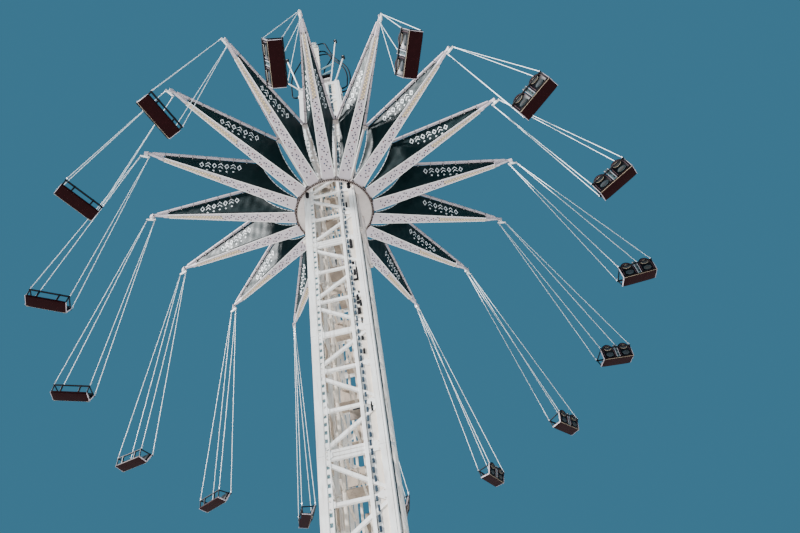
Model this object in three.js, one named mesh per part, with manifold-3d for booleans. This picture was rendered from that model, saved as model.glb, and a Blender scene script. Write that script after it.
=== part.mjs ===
// Chair swing tower: a lattice mast, a carriage that climbs it, and a rotor of
// sixteen arms with a double chair hanging from each.
// Millimetres, +Z up, origin at the centre of the base plate's underside.

import * as THREE from 'three';
import { mergeVertices } from 'three/addons/utils/BufferGeometryUtils.js';
import Module from 'manifold-3d';

const wasm = await Module();
wasm.setup();

// Driving dimensions
const tipRadius = 5800;            // end of an arm, from the mast axis
const armCount = 16;
const armStart = -84.99;           // azimuth of arm 1, degrees from +X
const armStep = 360 / armCount;
const pivotHeight = 26080;         // level of the chair pivots
const pivotRadius = 1.02 * tipRadius;
const seat = 0.3;                  // gap between touching pieces
const overlap = 1;                 // how far joined solids run into each other
const letIn = 10;                  // how far a bar or block is let into a larger piece
const weldTolerance = 1e-3;        // corners closer than this are one

// Base plate and the gussets round its corner posts
const baseThickness = 100;
const baseHalf = 1300;
const gussetReach = 380;
const gussetHeight = 520;
const gussetThickness = 30;
const gussetLine = 690;            // from the mast's middle

// Mast
const mastHalf = 780;              // outer face of the corner posts
const postWidth = 180;
const mastTop = 32450;
const bayHeight = 1304;
const sectionBays = [5, 6, 6, 7];  // bays of each mast section, from the top
const barWidth = 84;
const barDepth = 60;
const barInset = 45;               // mast face to the middle of its bars
const braceMargin = 150;           // level bar to the end of a diagonal
const glandReach = 50;             // hose glands on the top section
const glandSide = 90;
const glandY = -690;
const rightGlands = [31600, 31900];
const leftGland = 31980;

// Machinery on the mast's top
const headPlate = 60;
const driveBox = { size: [900, 500, 300], x: 0, y: 250 };
const cableWinch = { size: [380, 420, 1250], x: 290, y: -430 };
const cablePost = { side: 220, height: 4400, x: -30, y: -470 };
const sheaveRadius = 170;
const sheaveThickness = 120;
const sheaveX = -130;
const sheaveY = -600;
const rungLevels = [1400, 2000];   // above the mast's top
const rodWidth = 50;
const lampSide = 130;
const lampHeight = 150;
const rodFeet = [[-740, -740], [640, -740], [430, -640], [-740, -740]];
const rodEnds = [[-1110, -1110, 2150], [1110, -1110, 1250], [838, -640, 4150], [-1250, -1250, 60]];
const rodFace = [1, 0.2, 0];       // side that the flats of a rod look to
const sheaveSides = 16;

// Carriage
const mastGap = 15;                // carriage to mast face
const ringBottom = pivotHeight - 1400;
const ringPlateRadius = 1166;
const ringHoleRadius = 1125;        // towards the mast's faces without legs
const ringPlateThickness = 110;
const legInnerX = mastHalf + mastGap;
const legThickness = 60;
const legWidth = 100;
const legY = 430;
const legLow = pivotHeight - 3700;
const legHigh = pivotHeight + 250;
const legRungs = 5;
const rungHeight = 90;
const rungMargin = 60;
const rollerRadius = 55;
const rollerWidth = 70;
const rollerY = 655;
const rollerSides = 8;             // of the rollers and the motors
const motorRadius = 45;
const motorHeight = 210;
const motorX = 650;
const motorY = -900;
const motorDrop = 95;              // ring underside to the middle of a motor

// Slewing ring with its struts
const ringOuterRadius = 1236;
const ringInnerRadius = 1173;
const ringLipRadius = 1147;
const ringLipThickness = 50;
const ringSides = 32;
const strutWidth = 56;
const strutInset = 32;
const nodeOuter = 80.6;            // block at a star point, outward and inward of it
const nodeInner = 50;
const nodeWidth = 160;
const nodeHeight = 90;

// Arms
const beamRootWidth = 362;
const beamTipWidth = 76;
const beamDepth = 80;
const beamRootGap = 0.6;
const beamEnd = 0.955 * tipRadius;
const beamRoot = 0.21 * tipRadius;
const beamRootUnderside = -0.236 * tipRadius;
const junctionRadius = 0.413 * tipRadius;
const junctionLevel = 0.015 * tipRadius;
const tubeWidth = 64;
const tubeStart = 96.4;            // star point to the end of each tube
const tubeEndGap = 60;
const tubeEndY = 30;
const tubeEndLevel = 100;
const headStart = 0.93 * tipRadius;
const headGap = 30;
const headBase = 20;
const headFoot = 80;
const headTop = 130;
const headRootHalf = 38;
const headTipHalf = 30;

// Chair pivots: a fork and pin on the arm, an eye on the spreader
const pinSides = 8;
const pinRadius = 22;
const boreClearance = 0.3;
const eyeWidth = 60;
const eyeDepth = 90;
const eyeTop = 50;
const cheekThickness = 18;
const cheekGap = 3;
const forkHalf = 60;
const forkLow = -40;
const forkInnerTop = 78;
const forkTop = 112;
const spreaderDrop = 120;
const spreaderHalf = 150;
const spreaderWidth = 50;
const hookInset = 20;

// Fabric panels
const bannerThickness = 12;
const bannerRootGap = 60;
const bannerRootRise = 45;
const bannerSweep = [760, 60, 330];
const bannerCorner = [80, -62, -46];
const bannerEnd = 0.925 * tipRadius;
const bannerEndY = 62;
const bannerEndLevel = 45;
const bannerGap = 2;               // beam edge to the root of the inner edge
const edgeShares = [0, 0.3, 0.6, 0.85, 1];

// Hanging chair: displacement of its middle from the pivot
const hangLength = 7200;           // pivot to the level of the front rail
const outwardShift = 1635;
const trailingShift = -490;
const breezeX = 165;
const breezeY = 35;
const outwardSway = 80;            // sway that changes from arm to arm
const twiceSway = 90;
const thriceSway = 120;
const twists = [4, -7];            // turn on the swivel, degrees, of every other chair

// Chair, in its hanging pose
const chainWidth = 30;
const chainInset = 12;
const chainSides = 3;
const chairHalf = 500;
const sideX = 475;
const frontY = 178;
const rearY = -242;
const rearRise = 10;
const panDrop = 248;
const panDepth = 304;
const panThickness = 70;
const panTilt = 5;                 // degrees, front edge up
const panY = 42;
const panLetIn = 10;               // side frames to the edge of the pan
const railWidth = 36;
const frontPostY = 165;
const rearPostY = -75;
const sidePost = [36, 30];
const link = [32, 28];
const linkX = [-245, 245];
const linkFootY = 172;
const linkRise = 20;               // pan middle to the foot of a link
const backX = 270;
const backHalf = 205;
const backStraight = 195;
const backThickness = 50;
const backLean = 25;               // degrees
const backY = -70;
const backDrop = 234;
const backCurve = 3;               // steps of each half turn of an arched back
const middlePlate = [116, 20, 370]; // upright between the two backs
const middlePlateBack = 35;        // front of the backs to its middle

// Hoses on the mast's top, as [x, z] from their first end to their last
const hoseRadius = 25;
const hoseStep = 150;              // along a hose
const hoseCurve = 4;               // steps of each half turn of its section
const hoseStartY = { overhead: -470, side: -425, winch: -530, left: -470 };
const overheadHose = [
  [-30, 36850.6], [-30, 36930], [-14, 37010], [32, 37078], [100, 37124], [180, 37140], [260, 37124],
  [328, 37078], [374, 37000], [405, 36850], [450, 36600], [510, 36200], [585, 35800], [680, 35350],
  [800, 34950], [930, 34600], [1050, 34250], [1145, 33850], [1205, 33400], [1222, 32950],
  [1205, 32500], [1170, 32150], [1140, 31880], [1106, 31735], [1015, 31636], [890, 31600], [830.6, 31600],
];
const sideHose = [
  [80.6, 36450], [150, 36450], [230, 36422], [310, 36340], [375, 36220], [430, 36050], [490, 35800],
  [560, 35500], [650, 35150], [760, 34850], [870, 34550], [965, 34200], [1045, 33800], [1095, 33350],
  [1110, 32900], [1095, 32500], [1075, 32260], [1070, 32130], [1041, 32015], [960, 31932],
  [860, 31900], [830.6, 31900],
];
const winchHose = [
  [80.6, 35830], [160, 35830], [260, 35822], [360, 35795], [450, 35740], [520, 35650], [562, 35530],
  [574, 35400], [560, 35270], [525, 35140], [470, 35000], [400, 34850], [330, 34700], [270, 34550],
  [225, 34380], [203, 34200], [198, 34000], [198, 33850], [198, 33700.9],
];
const leftHose = [
  [-140.6, 36500], [-220, 36500], [-310, 36460], [-400, 36380], [-480, 36260], [-560, 36080],
  [-640, 35850], [-720, 35600], [-800, 35300], [-880, 35000], [-955, 34700], [-1020, 34350],
  [-1065, 33950], [-1085, 33500], [-1082, 33050], [-1070, 32700], [-1058, 32400], [-1050, 32190],
  [-1023, 32085], [-950, 32009], [-860, 31980], [-830.6, 31980],
];

// Materials
const whitePaint = new THREE.MeshStandardMaterial({ color: 0xe9e6e0, roughness: 0.5, metalness: 0.1 });
const greyPaint = new THREE.MeshStandardMaterial({ color: 0xb9b2ae, roughness: 0.55, metalness: 0.1 });
const armPaint = new THREE.MeshStandardMaterial({ color: 0xcfc3c6, roughness: 0.5, metalness: 0.1 });
const greenFabric = new THREE.MeshStandardMaterial({ color: 0x0d2b2c, roughness: 0.9, metalness: 0 });
const chairShell = new THREE.MeshStandardMaterial({ color: 0x2a1014, roughness: 0.45, metalness: 0.05 });
const blackRubber = new THREE.MeshStandardMaterial({ color: 0x141416, roughness: 0.7, metalness: 0 });

const part = new THREE.Group();

function toSolid(geometry) {
  const bare = geometry.clone();
  bare.deleteAttribute('normal');
  bare.deleteAttribute('uv');
  const merged = mergeVertices(bare, weldTolerance);
  const mesh = new wasm.Mesh({
    numProp: 3,
    vertProperties: new Float32Array(merged.attributes.position.array),
    triVerts: new Uint32Array(merged.index.array),
  });
  return new wasm.Manifold(mesh);
}

function toGeometry(solid) {
  const mesh = solid.getMesh();
  const geometry = new THREE.BufferGeometry();
  geometry.setAttribute('position', new THREE.BufferAttribute(mesh.vertProperties, 3));
  geometry.setIndex(new THREE.BufferAttribute(mesh.triVerts, 1));
  return geometry;
}

function fuse(geometries) {
  return geometries.map(toSolid).reduce((whole, piece) => whole.add(piece));
}

function block(sizeX, sizeY, sizeZ, x, y, z) {
  const geometry = new THREE.BoxGeometry(sizeX, sizeY, sizeZ);
  geometry.translate(x, y, z);
  return geometry;
}

// A straight bar between two points, width measured across and depth along `face`
function bar(from, to, width, depth, face = new THREE.Vector3(0, 0, 1)) {
  const along = to.clone().sub(from);
  const length = along.length();
  along.normalize();
  const across = new THREE.Vector3().crossVectors(face, along).normalize();
  const normal = new THREE.Vector3().crossVectors(along, across);
  const geometry = new THREE.BoxGeometry(width, depth, length);
  const matrix = new THREE.Matrix4().makeBasis(across, normal, along);
  matrix.setPosition(from.clone().add(to).multiplyScalar(0.5));
  geometry.applyMatrix4(matrix);
  return geometry;
}

// A chain as one thin straight member
function strand(from, to, radius) {
  const along = to.clone().sub(from);
  const geometry = new THREE.CylinderGeometry(radius, radius, along.length(), chainSides);
  const up = new THREE.Vector3(0, 1, 0);
  geometry.applyQuaternion(new THREE.Quaternion().setFromUnitVectors(up, along.clone().normalize()));
  const middle = from.clone().add(to).multiplyScalar(0.5);
  geometry.translate(middle.x, middle.y, middle.z);
  return geometry;
}

function disc(radius, height, sides, x, y, z) {
  const geometry = new THREE.CylinderGeometry(radius, radius, height, sides);
  geometry.rotateX(Math.PI / 2);
  geometry.translate(x, y, z);
  return geometry;
}

// A cylinder whose axis runs along `axis` through `centre`
function drum(radius, length, sides, centre, axis) {
  const geometry = new THREE.CylinderGeometry(radius, radius, length, sides);
  const up = new THREE.Vector3(0, 1, 0);
  geometry.applyQuaternion(new THREE.Quaternion().setFromUnitVectors(up, axis));
  geometry.translate(centre.x, centre.y, centre.z);
  return geometry;
}

// A flat sheet of any outline: two copies of the outline joined at the rim
function slab(points, thickness) {
  const count = points.length;
  const edgeA = points[1].clone().sub(points[0]);
  const edgeB = points[count - 1].clone().sub(points[0]);
  const normal = edgeA.cross(edgeB).normalize().multiplyScalar(thickness / 2);
  const vertices = [];
  for (const point of points) vertices.push(...point.clone().add(normal).toArray());
  for (const point of points) vertices.push(...point.clone().sub(normal).toArray());
  const triangles = [];
  for (let i = 1; i < count - 1; i += 1) {
    triangles.push(0, i, i + 1);
    triangles.push(count, count + i + 1, count + i);
  }
  for (let i = 0; i < count; i += 1) {
    const next = (i + 1) % count;
    triangles.push(i, count + i, count + next);
    triangles.push(i, count + next, next);
  }
  const geometry = new THREE.BufferGeometry();
  geometry.setAttribute('position', new THREE.Float32BufferAttribute(vertices, 3));
  geometry.setIndex(triangles);
  return geometry;
}

function addPiece(name, geometry, material, parent = part) {
  const mesh = new THREE.Mesh(geometry, material);
  mesh.name = name;
  parent.add(mesh);
  return mesh;
}

const point = (x, y, z) => new THREE.Vector3(x, y, z);
const radians = THREE.MathUtils.degToRad;
const numbered = (stem, k) => `${stem}_${String(k + 1).padStart(2, '0')}`;

// Base plate with gussets outside the corner posts
function basePlate() {
  const pieces = [block(2 * baseHalf, 2 * baseHalf, baseThickness, 0, 0, baseThickness / 2)];
  for (const sx of [-1, 1]) {
    for (const sy of [-1, 1]) {
      const low = baseThickness - overlap;
      const high = baseThickness + gussetHeight;
      const inX = sx * (mastHalf + seat);
      const inY = sy * (mastHalf + seat);
      const alongX = [
        point(inX, sy * gussetLine, low),
        point(inX + sx * gussetReach, sy * gussetLine, low),
        point(inX, sy * gussetLine, high),
      ];
      const alongY = [
        point(sx * gussetLine, inY, low),
        point(sx * gussetLine, inY + sy * gussetReach, low),
        point(sx * gussetLine, inY, high),
      ];
      for (const outline of [alongX, alongY]) pieces.push(slab(outline, gussetThickness));
    }
  }
  return toGeometry(fuse(pieces));
}

// One mast section: four posts, with level bars and one diagonal a bay on each side
function mastSection(topLevel, lowLevel, firstBay, bays) {
  const pieces = [];
  const middle = (topLevel + lowLevel) / 2;
  const postCentre = mastHalf - postWidth / 2;
  for (const sx of [-1, 1]) {
    for (const sy of [-1, 1]) {
      const height = topLevel - lowLevel;
      pieces.push(block(postWidth, postWidth, height, sx * postCentre, sy * postCentre, middle));
    }
  }
  const faceOffset = mastHalf - barInset;
  const braceEnd = postCentre - barWidth / 2;
  for (let side = 0; side < 4; side += 1) {
    const turn = new THREE.Matrix4().makeRotationZ((side * Math.PI) / 2);
    const normal = point(0, 1, 0);
    for (let bay = 0; bay <= bays; bay += 1) {
      let level = topLevel - bay * bayHeight;
      if (bay === 0) level -= barWidth / 2;
      if (bay === bays) level += barWidth / 2;
      const rail = bar(point(-postCentre, -faceOffset, level), point(postCentre, -faceOffset, level),
        barWidth, barDepth, normal);
      pieces.push(rail.applyMatrix4(turn));
      if (bay === bays) break;
      const lean = (firstBay + bay) % 2 === 0 ? -1 : 1;
      const high = topLevel - bay * bayHeight - braceMargin;
      const low = high - bayHeight + 2 * braceMargin;
      const brace = bar(point(lean * braceEnd, -faceOffset, high), point(-lean * braceEnd, -faceOffset, low),
        barWidth, barDepth, normal);
      pieces.push(brace.applyMatrix4(turn));
    }
  }
  if (firstBay === 0) {
    const glandX = mastHalf + (glandReach - overlap) / 2;
    const places = rightGlands.map((z) => [glandX, z]);
    places.push([-glandX, leftGland]);
    for (const [x, z] of places) {
      pieces.push(block(glandReach + overlap, glandSide, glandSide, x, glandY, z));
    }
  }
  return toGeometry(fuse(pieces));
}

// Ring plate round the mast with guide legs and rollers on the mast's -X and +X faces
function carriageFrame() {
  const plateMiddle = ringBottom + ringPlateThickness / 2;
  const plate = toSolid(disc(ringPlateRadius, ringPlateThickness, ringSides, 0, 0, plateMiddle));
  const round = toSolid(disc(ringHoleRadius, 2 * ringPlateThickness, ringSides, 0, 0, plateMiddle));
  const between = block(2 * legInnerX, 2 * ringHoleRadius, 3 * ringPlateThickness, 0, 0, plateMiddle);
  let whole = plate.subtract(round.intersect(toSolid(between)));
  const legX = legInnerX + legThickness / 2;
  const rungSpan = legHigh - legLow - 2 * rungMargin;
  for (const sx of [-1, 1]) {
    const pieces = [];
    for (const y of [-legY, legY]) {
      pieces.push(block(legThickness, legWidth, legHigh - legLow, sx * legX, y, (legHigh + legLow) / 2));
    }
    for (let k = 0; k <= legRungs; k += 1) {
      const level = legLow + rungMargin + (rungSpan * k) / legRungs;
      const atRollers = k === 0 || k === legRungs;
      const reach = atRollers ? rollerY + rollerWidth / 2 : legY;
      pieces.push(block(legThickness - letIn, 2 * reach, rungHeight, sx * legX, 0, level));
      if (!atRollers) continue;
      for (const y of [-rollerY, rollerY]) {
        const centre = point(sx * (mastHalf + seat + rollerRadius), y, level);
        pieces.push(drum(rollerRadius, rollerWidth, rollerSides, centre, point(0, 1, 0)));
      }
    }
    for (const piece of pieces) whole = whole.add(toSolid(piece));
  }
  const motorMiddle = ringBottom - motorDrop;
  for (const x of [-motorX, motorX]) {
    whole = whole.add(toSolid(disc(motorRadius, motorHeight, rollerSides, x, motorY, motorMiddle)));
  }
  return toGeometry(whole);
}

// Slewing ring that turns on the carriage, with a strut up to each star point
function rotorRing() {
  const ringTop = ringBottom + ringPlateThickness + seat + ringLipThickness;
  const height = ringTop - ringBottom;
  const outer = toSolid(disc(ringOuterRadius, height, ringSides, 0, 0, ringBottom + height / 2));
  const inner = toSolid(disc(ringInnerRadius, 2 * height, ringSides, 0, 0, ringBottom + height / 2));
  const lipMiddle = ringTop - ringLipThickness / 2;
  const lipOuter = ringInnerRadius + letIn;
  const lip = toSolid(disc(lipOuter, ringLipThickness, ringSides, 0, 0, lipMiddle));
  const lipHole = toSolid(disc(ringLipRadius, 2 * ringLipThickness, ringSides, 0, 0, lipMiddle));
  let whole = outer.subtract(inner).add(lip.subtract(lipHole));
  for (let k = 0; k < armCount; k += 1) {
    const angle = radians(armStart + (k + 0.5) * armStep);
    const outward = point(Math.cos(angle), Math.sin(angle), 0);
    const foot = outward.clone().multiplyScalar(ringOuterRadius - strutInset);
    foot.z = ringTop - strutInset;
    const head = outward.clone().multiplyScalar(junctionRadius);
    head.z = pivotHeight + junctionLevel;
    whole = whole.add(toSolid(bar(foot, head, strutWidth, strutWidth)));
    const node = block(nodeOuter + nodeInner, nodeWidth, nodeHeight, (nodeOuter - nodeInner) / 2, 0, 0);
    node.rotateZ(angle);
    node.translate(head.x, head.y, head.z);
    whole = whole.add(toSolid(node));
  }
  return toGeometry(whole);
}

// Places along an arm, in its own frame: x outward, y round the tower, z up from the pivots
function beamUnderside(x) {
  return beamRootUnderside * (1 - (x - beamRoot) / (tipRadius - beamRoot));
}

function beamHalfWidth(x) {
  const share = (x - ringOuterRadius) / (beamEnd - ringOuterRadius);
  return THREE.MathUtils.lerp(beamRootWidth, beamTipWidth, share) / 2;
}

const junctionX = junctionRadius * Math.cos(radians(armStep / 2));
const junctionY = junctionRadius * Math.sin(radians(armStep / 2));

// Triangles of a flat outline, turning the same way as its points
function capTriangles(outline) {
  const corners = outline.map((corner) => new THREE.Vector3(...corner));
  const normal = new THREE.Vector3();
  corners.forEach((corner, i) => normal.add(corner.clone().cross(corners[(i + 1) % corners.length])));
  normal.normalize();
  const u = corners[1].clone().sub(corners[0]).normalize();
  const v = normal.clone().cross(u);
  const flat = corners.map((corner) => new THREE.Vector2(corner.dot(u), corner.dot(v)));
  return THREE.ShapeUtils.triangulateShape(flat, []).map(([i, j, k]) => {
    const turn = flat[j].clone().sub(flat[i]).cross(flat[k].clone().sub(flat[i]));
    return turn > 0 ? [i, j, k] : [i, k, j];
  });
}

// A closed solid through flat sections that have like numbers of corners
function prism(sections) {
  const vertices = sections.flat(2);
  const size = sections[0].length;
  const last = (sections.length - 1) * size;
  const triangles = [];
  for (const [i, j, k] of capTriangles(sections[0])) triangles.push(i, k, j);
  for (const [i, j, k] of capTriangles(sections[sections.length - 1])) {
    triangles.push(last + i, last + j, last + k);
  }
  for (let start = 0; start < last; start += size) {
    for (let i = 0; i < size; i += 1) {
      const a = start + i;
      const b = start + ((i + 1) % size);
      triangles.push(a, b, b + size);
      triangles.push(a, b + size, a + size);
    }
  }
  const geometry = new THREE.BufferGeometry();
  geometry.setAttribute('position', new THREE.Float32BufferAttribute(vertices, 3));
  geometry.setIndex(triangles);
  return geometry;
}

function beamSection(x) {
  const half = beamHalfWidth(x);
  const low = beamUnderside(x);
  return [[x, -half, low], [x, half, low], [x, half, low + beamDepth], [x, -half, low + beamDepth]];
}

// Hinge axis of chair k in the tower frame, with its displacement and heading at rest
function hang(k) {
  const angle = radians(armStart + k * armStep);
  const outward = point(Math.cos(angle), Math.sin(angle), 0);
  const around = point(-Math.sin(angle), Math.cos(angle), 0);
  const out = outwardShift - outwardSway * Math.sin(2 * angle);
  const along = trailingShift + twiceSway * Math.sin(2 * angle) + thriceSway * Math.cos(3 * angle);
  const shift = outward.multiplyScalar(out).addScaledVector(around, along);
  shift.x += breezeX;
  shift.y += breezeY;
  const swing = Math.asin(shift.length() / hangLength);
  const axis = point(0, 0, 1).cross(shift).normalize();
  const heading = angle + radians(twists[k % twists.length]);
  return { angle, heading, swing, axis };
}

const turnedBack = (axis, angle) => axis.clone().applyAxisAngle(point(0, 0, 1), -angle);

function armSolid(k) {
  const pieces = [prism([beamSection(ringOuterRadius + beamRootGap), beamSection(beamEnd)])];
  const headEnd = pivotRadius - headGap;
  const headLow = beamUnderside(headStart) + headBase;
  pieces.push(prism([
    [[headStart, -headRootHalf, headLow], [headStart, headRootHalf, headLow],
      [headStart, headRootHalf, headTop], [headStart, -headRootHalf, headTop]],
    [[headEnd, -headTipHalf, headFoot], [headEnd, headTipHalf, headFoot],
      [headEnd, headTipHalf, headTop], [headEnd, -headTipHalf, headTop]],
  ]));
  for (const side of [-1, 1]) {
    const outer = point(tipRadius - tubeEndGap, side * tubeEndY, tubeEndLevel);
    const junction = point(junctionX, side * junctionY, junctionLevel);
    const direction = outer.clone().sub(junction).normalize();
    const inner = junction.clone().addScaledVector(direction, tubeStart);
    pieces.push(bar(inner, outer, tubeWidth, tubeWidth));
  }
  // fork for the chair pivot, square to the hinge axis, and its pin
  const { angle, swing, axis } = hang(k);
  const localAxis = turnedBack(axis, angle);
  const pivot = point(pivotRadius, 0, 0);
  const across = localAxis.clone().cross(point(0, 0, 1));
  const inside = eyeWidth / 2 + cheekGap;
  const outside = inside + cheekThickness;
  const profile = [[-outside, forkLow], [-inside, forkLow], [-inside, forkInnerTop], [inside, forkInnerTop],
    [inside, forkLow], [outside, forkLow], [outside, forkTop], [-outside, forkTop]];
  const forkFace = (shift) => profile.map(([u, z]) => pivot.clone()
    .addScaledVector(localAxis, u).addScaledVector(across, shift).add(point(0, 0, z)).toArray());
  pieces.push(prism([forkFace(-forkHalf), forkFace(forkHalf)]));
  // at rest the pin's corners touch the middles of the eye's faces
  const pin = drum(pinRadius, 2 * inside + letIn, pinSides, point(0, 0, 0), localAxis);
  const pinTurn = new THREE.Quaternion().setFromAxisAngle(localAxis, Math.PI / pinSides - swing);
  pin.applyQuaternion(pinTurn);
  pin.translate(pivot.x, pivot.y, pivot.z);
  pieces.push(pin);
  return toGeometry(fuse(pieces));
}

// Fabric of one arm: a panel up each side and a strip over the beam, open at the top.
// The inner edge sweeps from the beam's root up to the star point, then follows the tube.
function bannerSection(x, topY, topZ) {
  const half = beamHalfWidth(x);
  const low = beamUnderside(x) + beamDepth + seat;
  const t = bannerThickness;
  return [
    [x, -half, low], [x, half, low], [x, topY + t / 2, topZ], [x, topY - t / 2, topZ],
    [x, half - t, low + t], [x, -half + t, low + t], [x, -topY + t / 2, topZ], [x, -topY - t / 2, topZ],
  ];
}

function bannerGeometry() {
  const rootX = ringOuterRadius + bannerRootGap;
  const rootY = beamHalfWidth(rootX) + bannerGap;
  const rootZ = beamUnderside(rootX) + beamDepth + bannerRootRise;
  const root = point(rootX, rootY, rootZ);
  const sweep = root.clone().add(point(...bannerSweep));
  const corner = point(junctionX, junctionY, junctionLevel).add(point(...bannerCorner));
  const edge = new THREE.QuadraticBezierCurve3(root, sweep, corner);
  const sections = edgeShares.map((share) => {
    const place = edge.getPoint(share);
    return bannerSection(place.x, place.y, place.z);
  });
  sections.push(bannerSection(bannerEnd, bannerEndY, bannerEndLevel));
  return prism(sections);
}

// Chair k in its hanging pose: origin at the pivot, x outward, y in the direction of travel
function chairSolid(k) {
  const { heading, axis } = hang(k);
  const localAxis = turnedBack(axis, heading);
  const eye = bar(point(0, 0, eyeTop), point(0, 0, -spreaderDrop), eyeDepth, eyeWidth, localAxis);
  const boreRadius = (pinRadius + boreClearance) / Math.cos(Math.PI / pinSides);
  const bore = drum(boreRadius, 2 * eyeWidth, pinSides, point(0, 0, 0), localAxis);
  let whole = toSolid(eye).subtract(toSolid(bore));
  const spreaderEnd = point(spreaderHalf, 0, -spreaderDrop);
  const spreaderStart = point(-spreaderHalf, 0, -spreaderDrop);
  const pieces = [bar(spreaderStart, spreaderEnd, spreaderWidth, spreaderWidth)];
  const frontLevel = -hangLength;
  const rearLevel = rearRise - hangLength;
  const panLevel = -hangLength - panDrop;
  const face = point(1, 0, 0);
  for (const sx of [-1, 1]) {
    const hook = point(sx * (spreaderHalf - hookInset), 0, -spreaderDrop - letIn);
    const cornerX = sx * (chairHalf - chainInset);
    pieces.push(strand(hook, point(cornerX, frontY, frontLevel), chainWidth / 2));
    pieces.push(strand(hook, point(cornerX, rearY, rearLevel), chainWidth / 2));
    const front = point(sx * sideX, frontY, frontLevel);
    const rear = point(sx * sideX, rearY, rearLevel);
    pieces.push(bar(front, point(sx * sideX, frontPostY, panLevel), ...sidePost, face));
    pieces.push(bar(rear, point(sx * sideX, rearPostY, panLevel), ...sidePost, face));
    pieces.push(bar(front, rear, ...sidePost, face));
    pieces.push(backRest(sx * backX));
  }
  for (const x of linkX) {
    const foot = point(x, linkFootY, panLevel + linkRise);
    pieces.push(bar(point(x, frontY, frontLevel), foot, ...link, face));
  }
  const pan = block(2 * (sideX + panLetIn), panDepth, panThickness, 0, 0, 0);
  pan.rotateX(radians(panTilt));
  pan.translate(0, panY, panLevel);
  pieces.push(pan);
  pieces.push(block(2 * chairHalf, railWidth, railWidth, 0, frontY, frontLevel));
  pieces.push(block(2 * chairHalf, railWidth, railWidth, 0, rearY, rearLevel));
  const [, , plateHeight] = middlePlate;
  pieces.push(leanBack(block(...middlePlate, 0, -middlePlateBack, plateHeight / 2), 0));
  for (const piece of pieces) whole = whole.add(toSolid(piece));
  return toGeometry(whole);
}

// One arched back, leaning backward
function backRest(x) {
  const shape = new THREE.Shape();
  shape.moveTo(-backHalf, 0);
  shape.lineTo(backHalf, 0);
  shape.lineTo(backHalf, backStraight);
  shape.absarc(0, backStraight, backHalf, 0, Math.PI, false);
  shape.lineTo(-backHalf, 0);
  const options = { depth: backThickness, bevelEnabled: false, curveSegments: backCurve };
  const geometry = new THREE.ExtrudeGeometry(shape, options);
  geometry.rotateX(Math.PI / 2);
  return leanBack(geometry, x);
}

function leanBack(geometry, x) {
  geometry.rotateX(radians(backLean));
  geometry.translate(x, backY, -hangLength - backDrop);
  return geometry;
}

// Machinery on top of the mast, with a cable post, its sheave and lamp rods
function mastHead() {
  const low = mastTop + seat;
  const pieces = [block(2 * mastHalf, 2 * mastHalf, headPlate, 0, 0, low + headPlate / 2)];
  for (const { size, x, y } of [driveBox, cableWinch]) {
    const [width, depth, height] = size;
    pieces.push(block(width, depth, height, x, y, mastTop + height / 2));
  }
  const postTop = mastTop + cablePost.height;
  const postMiddle = mastTop + headPlate / 2 + cablePost.height / 2;
  const postHeight = cablePost.height - headPlate;
  pieces.push(block(cablePost.side, cablePost.side, postHeight, cablePost.x, cablePost.y, postMiddle));
  const sheaveMiddle = point(sheaveX, sheaveY, postTop);
  pieces.push(drum(sheaveRadius, sheaveThickness, sheaveSides, sheaveMiddle, point(0, 1, 0)));
  const [rodFootX, rodFootY] = rodFeet[2];
  const [rodEndX, rodEndY, rodRise] = rodEnds[2];
  for (const rise of rungLevels) {
    const share = rise / rodRise;
    const far = point(THREE.MathUtils.lerp(rodFootX, rodEndX, share),
      THREE.MathUtils.lerp(rodFootY, rodEndY, share), mastTop + rise);
    pieces.push(bar(point(cablePost.x, cablePost.y, mastTop + rise), far, rodWidth, rodWidth));
  }
  rodFeet.forEach(([footX, footY], i) => {
    const [endX, endY, rise] = rodEnds[i];
    const foot = point(footX, footY, low + headPlate / 2);
    const end = point(endX, endY, low + rise);
    pieces.push(bar(foot, end, rodWidth, rodWidth, point(...rodFace)));
    pieces.push(block(lampSide, lampSide, lampHeight, end.x, end.y, end.z));
  });
  return toGeometry(fuse(pieces));
}

// A hose along points [x, z], whose y eases from the cable post's to the last gland's
function hoseSolid(route, startY, endY) {
  const startZ = route[0][1];
  const drop = route[route.length - 1][1] - startZ;
  const places = route.map(([x, z]) => {
    const share = THREE.MathUtils.smoothstep((z - startZ) / drop, 0, 1);
    return point(x, THREE.MathUtils.lerp(startY, endY, share), z);
  });
  const path = new THREE.CatmullRomCurve3(places);
  const steps = Math.round(path.getLength() / hoseStep);
  const shape = new THREE.Shape();
  shape.absarc(0, 0, hoseRadius, 0, 2 * Math.PI, false);
  return new THREE.ExtrudeGeometry(shape, { steps, extrudePath: path, curveSegments: hoseCurve });
}

addPiece('base_plate', basePlate(), whitePaint);

let level = mastTop;
let bay = 0;
sectionBays.forEach((bays, index) => {
  const last = index === sectionBays.length - 1;
  const low = last ? baseThickness + seat : level - bays * bayHeight + seat;
  const name = `mast_section_${sectionBays.length - index}`;
  addPiece(name, mastSection(level, low, bay, bays), whitePaint);
  level -= bays * bayHeight;
  bay += bays;
});

addPiece('mast_head', mastHead(), whitePaint);
addPiece('carriage_frame', carriageFrame(), greyPaint);
addPiece('rotor_ring', rotorRing(), greyPaint);

const hoses = [
  [overheadHose, hoseStartY.overhead, glandY],
  [sideHose, hoseStartY.side, glandY],
  [winchHose, hoseStartY.winch, cableWinch.y],
  [leftHose, hoseStartY.left, glandY],
];
hoses.forEach((hose, k) => addPiece(`hose_${k + 1}`, hoseSolid(...hose), blackRubber));

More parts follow.
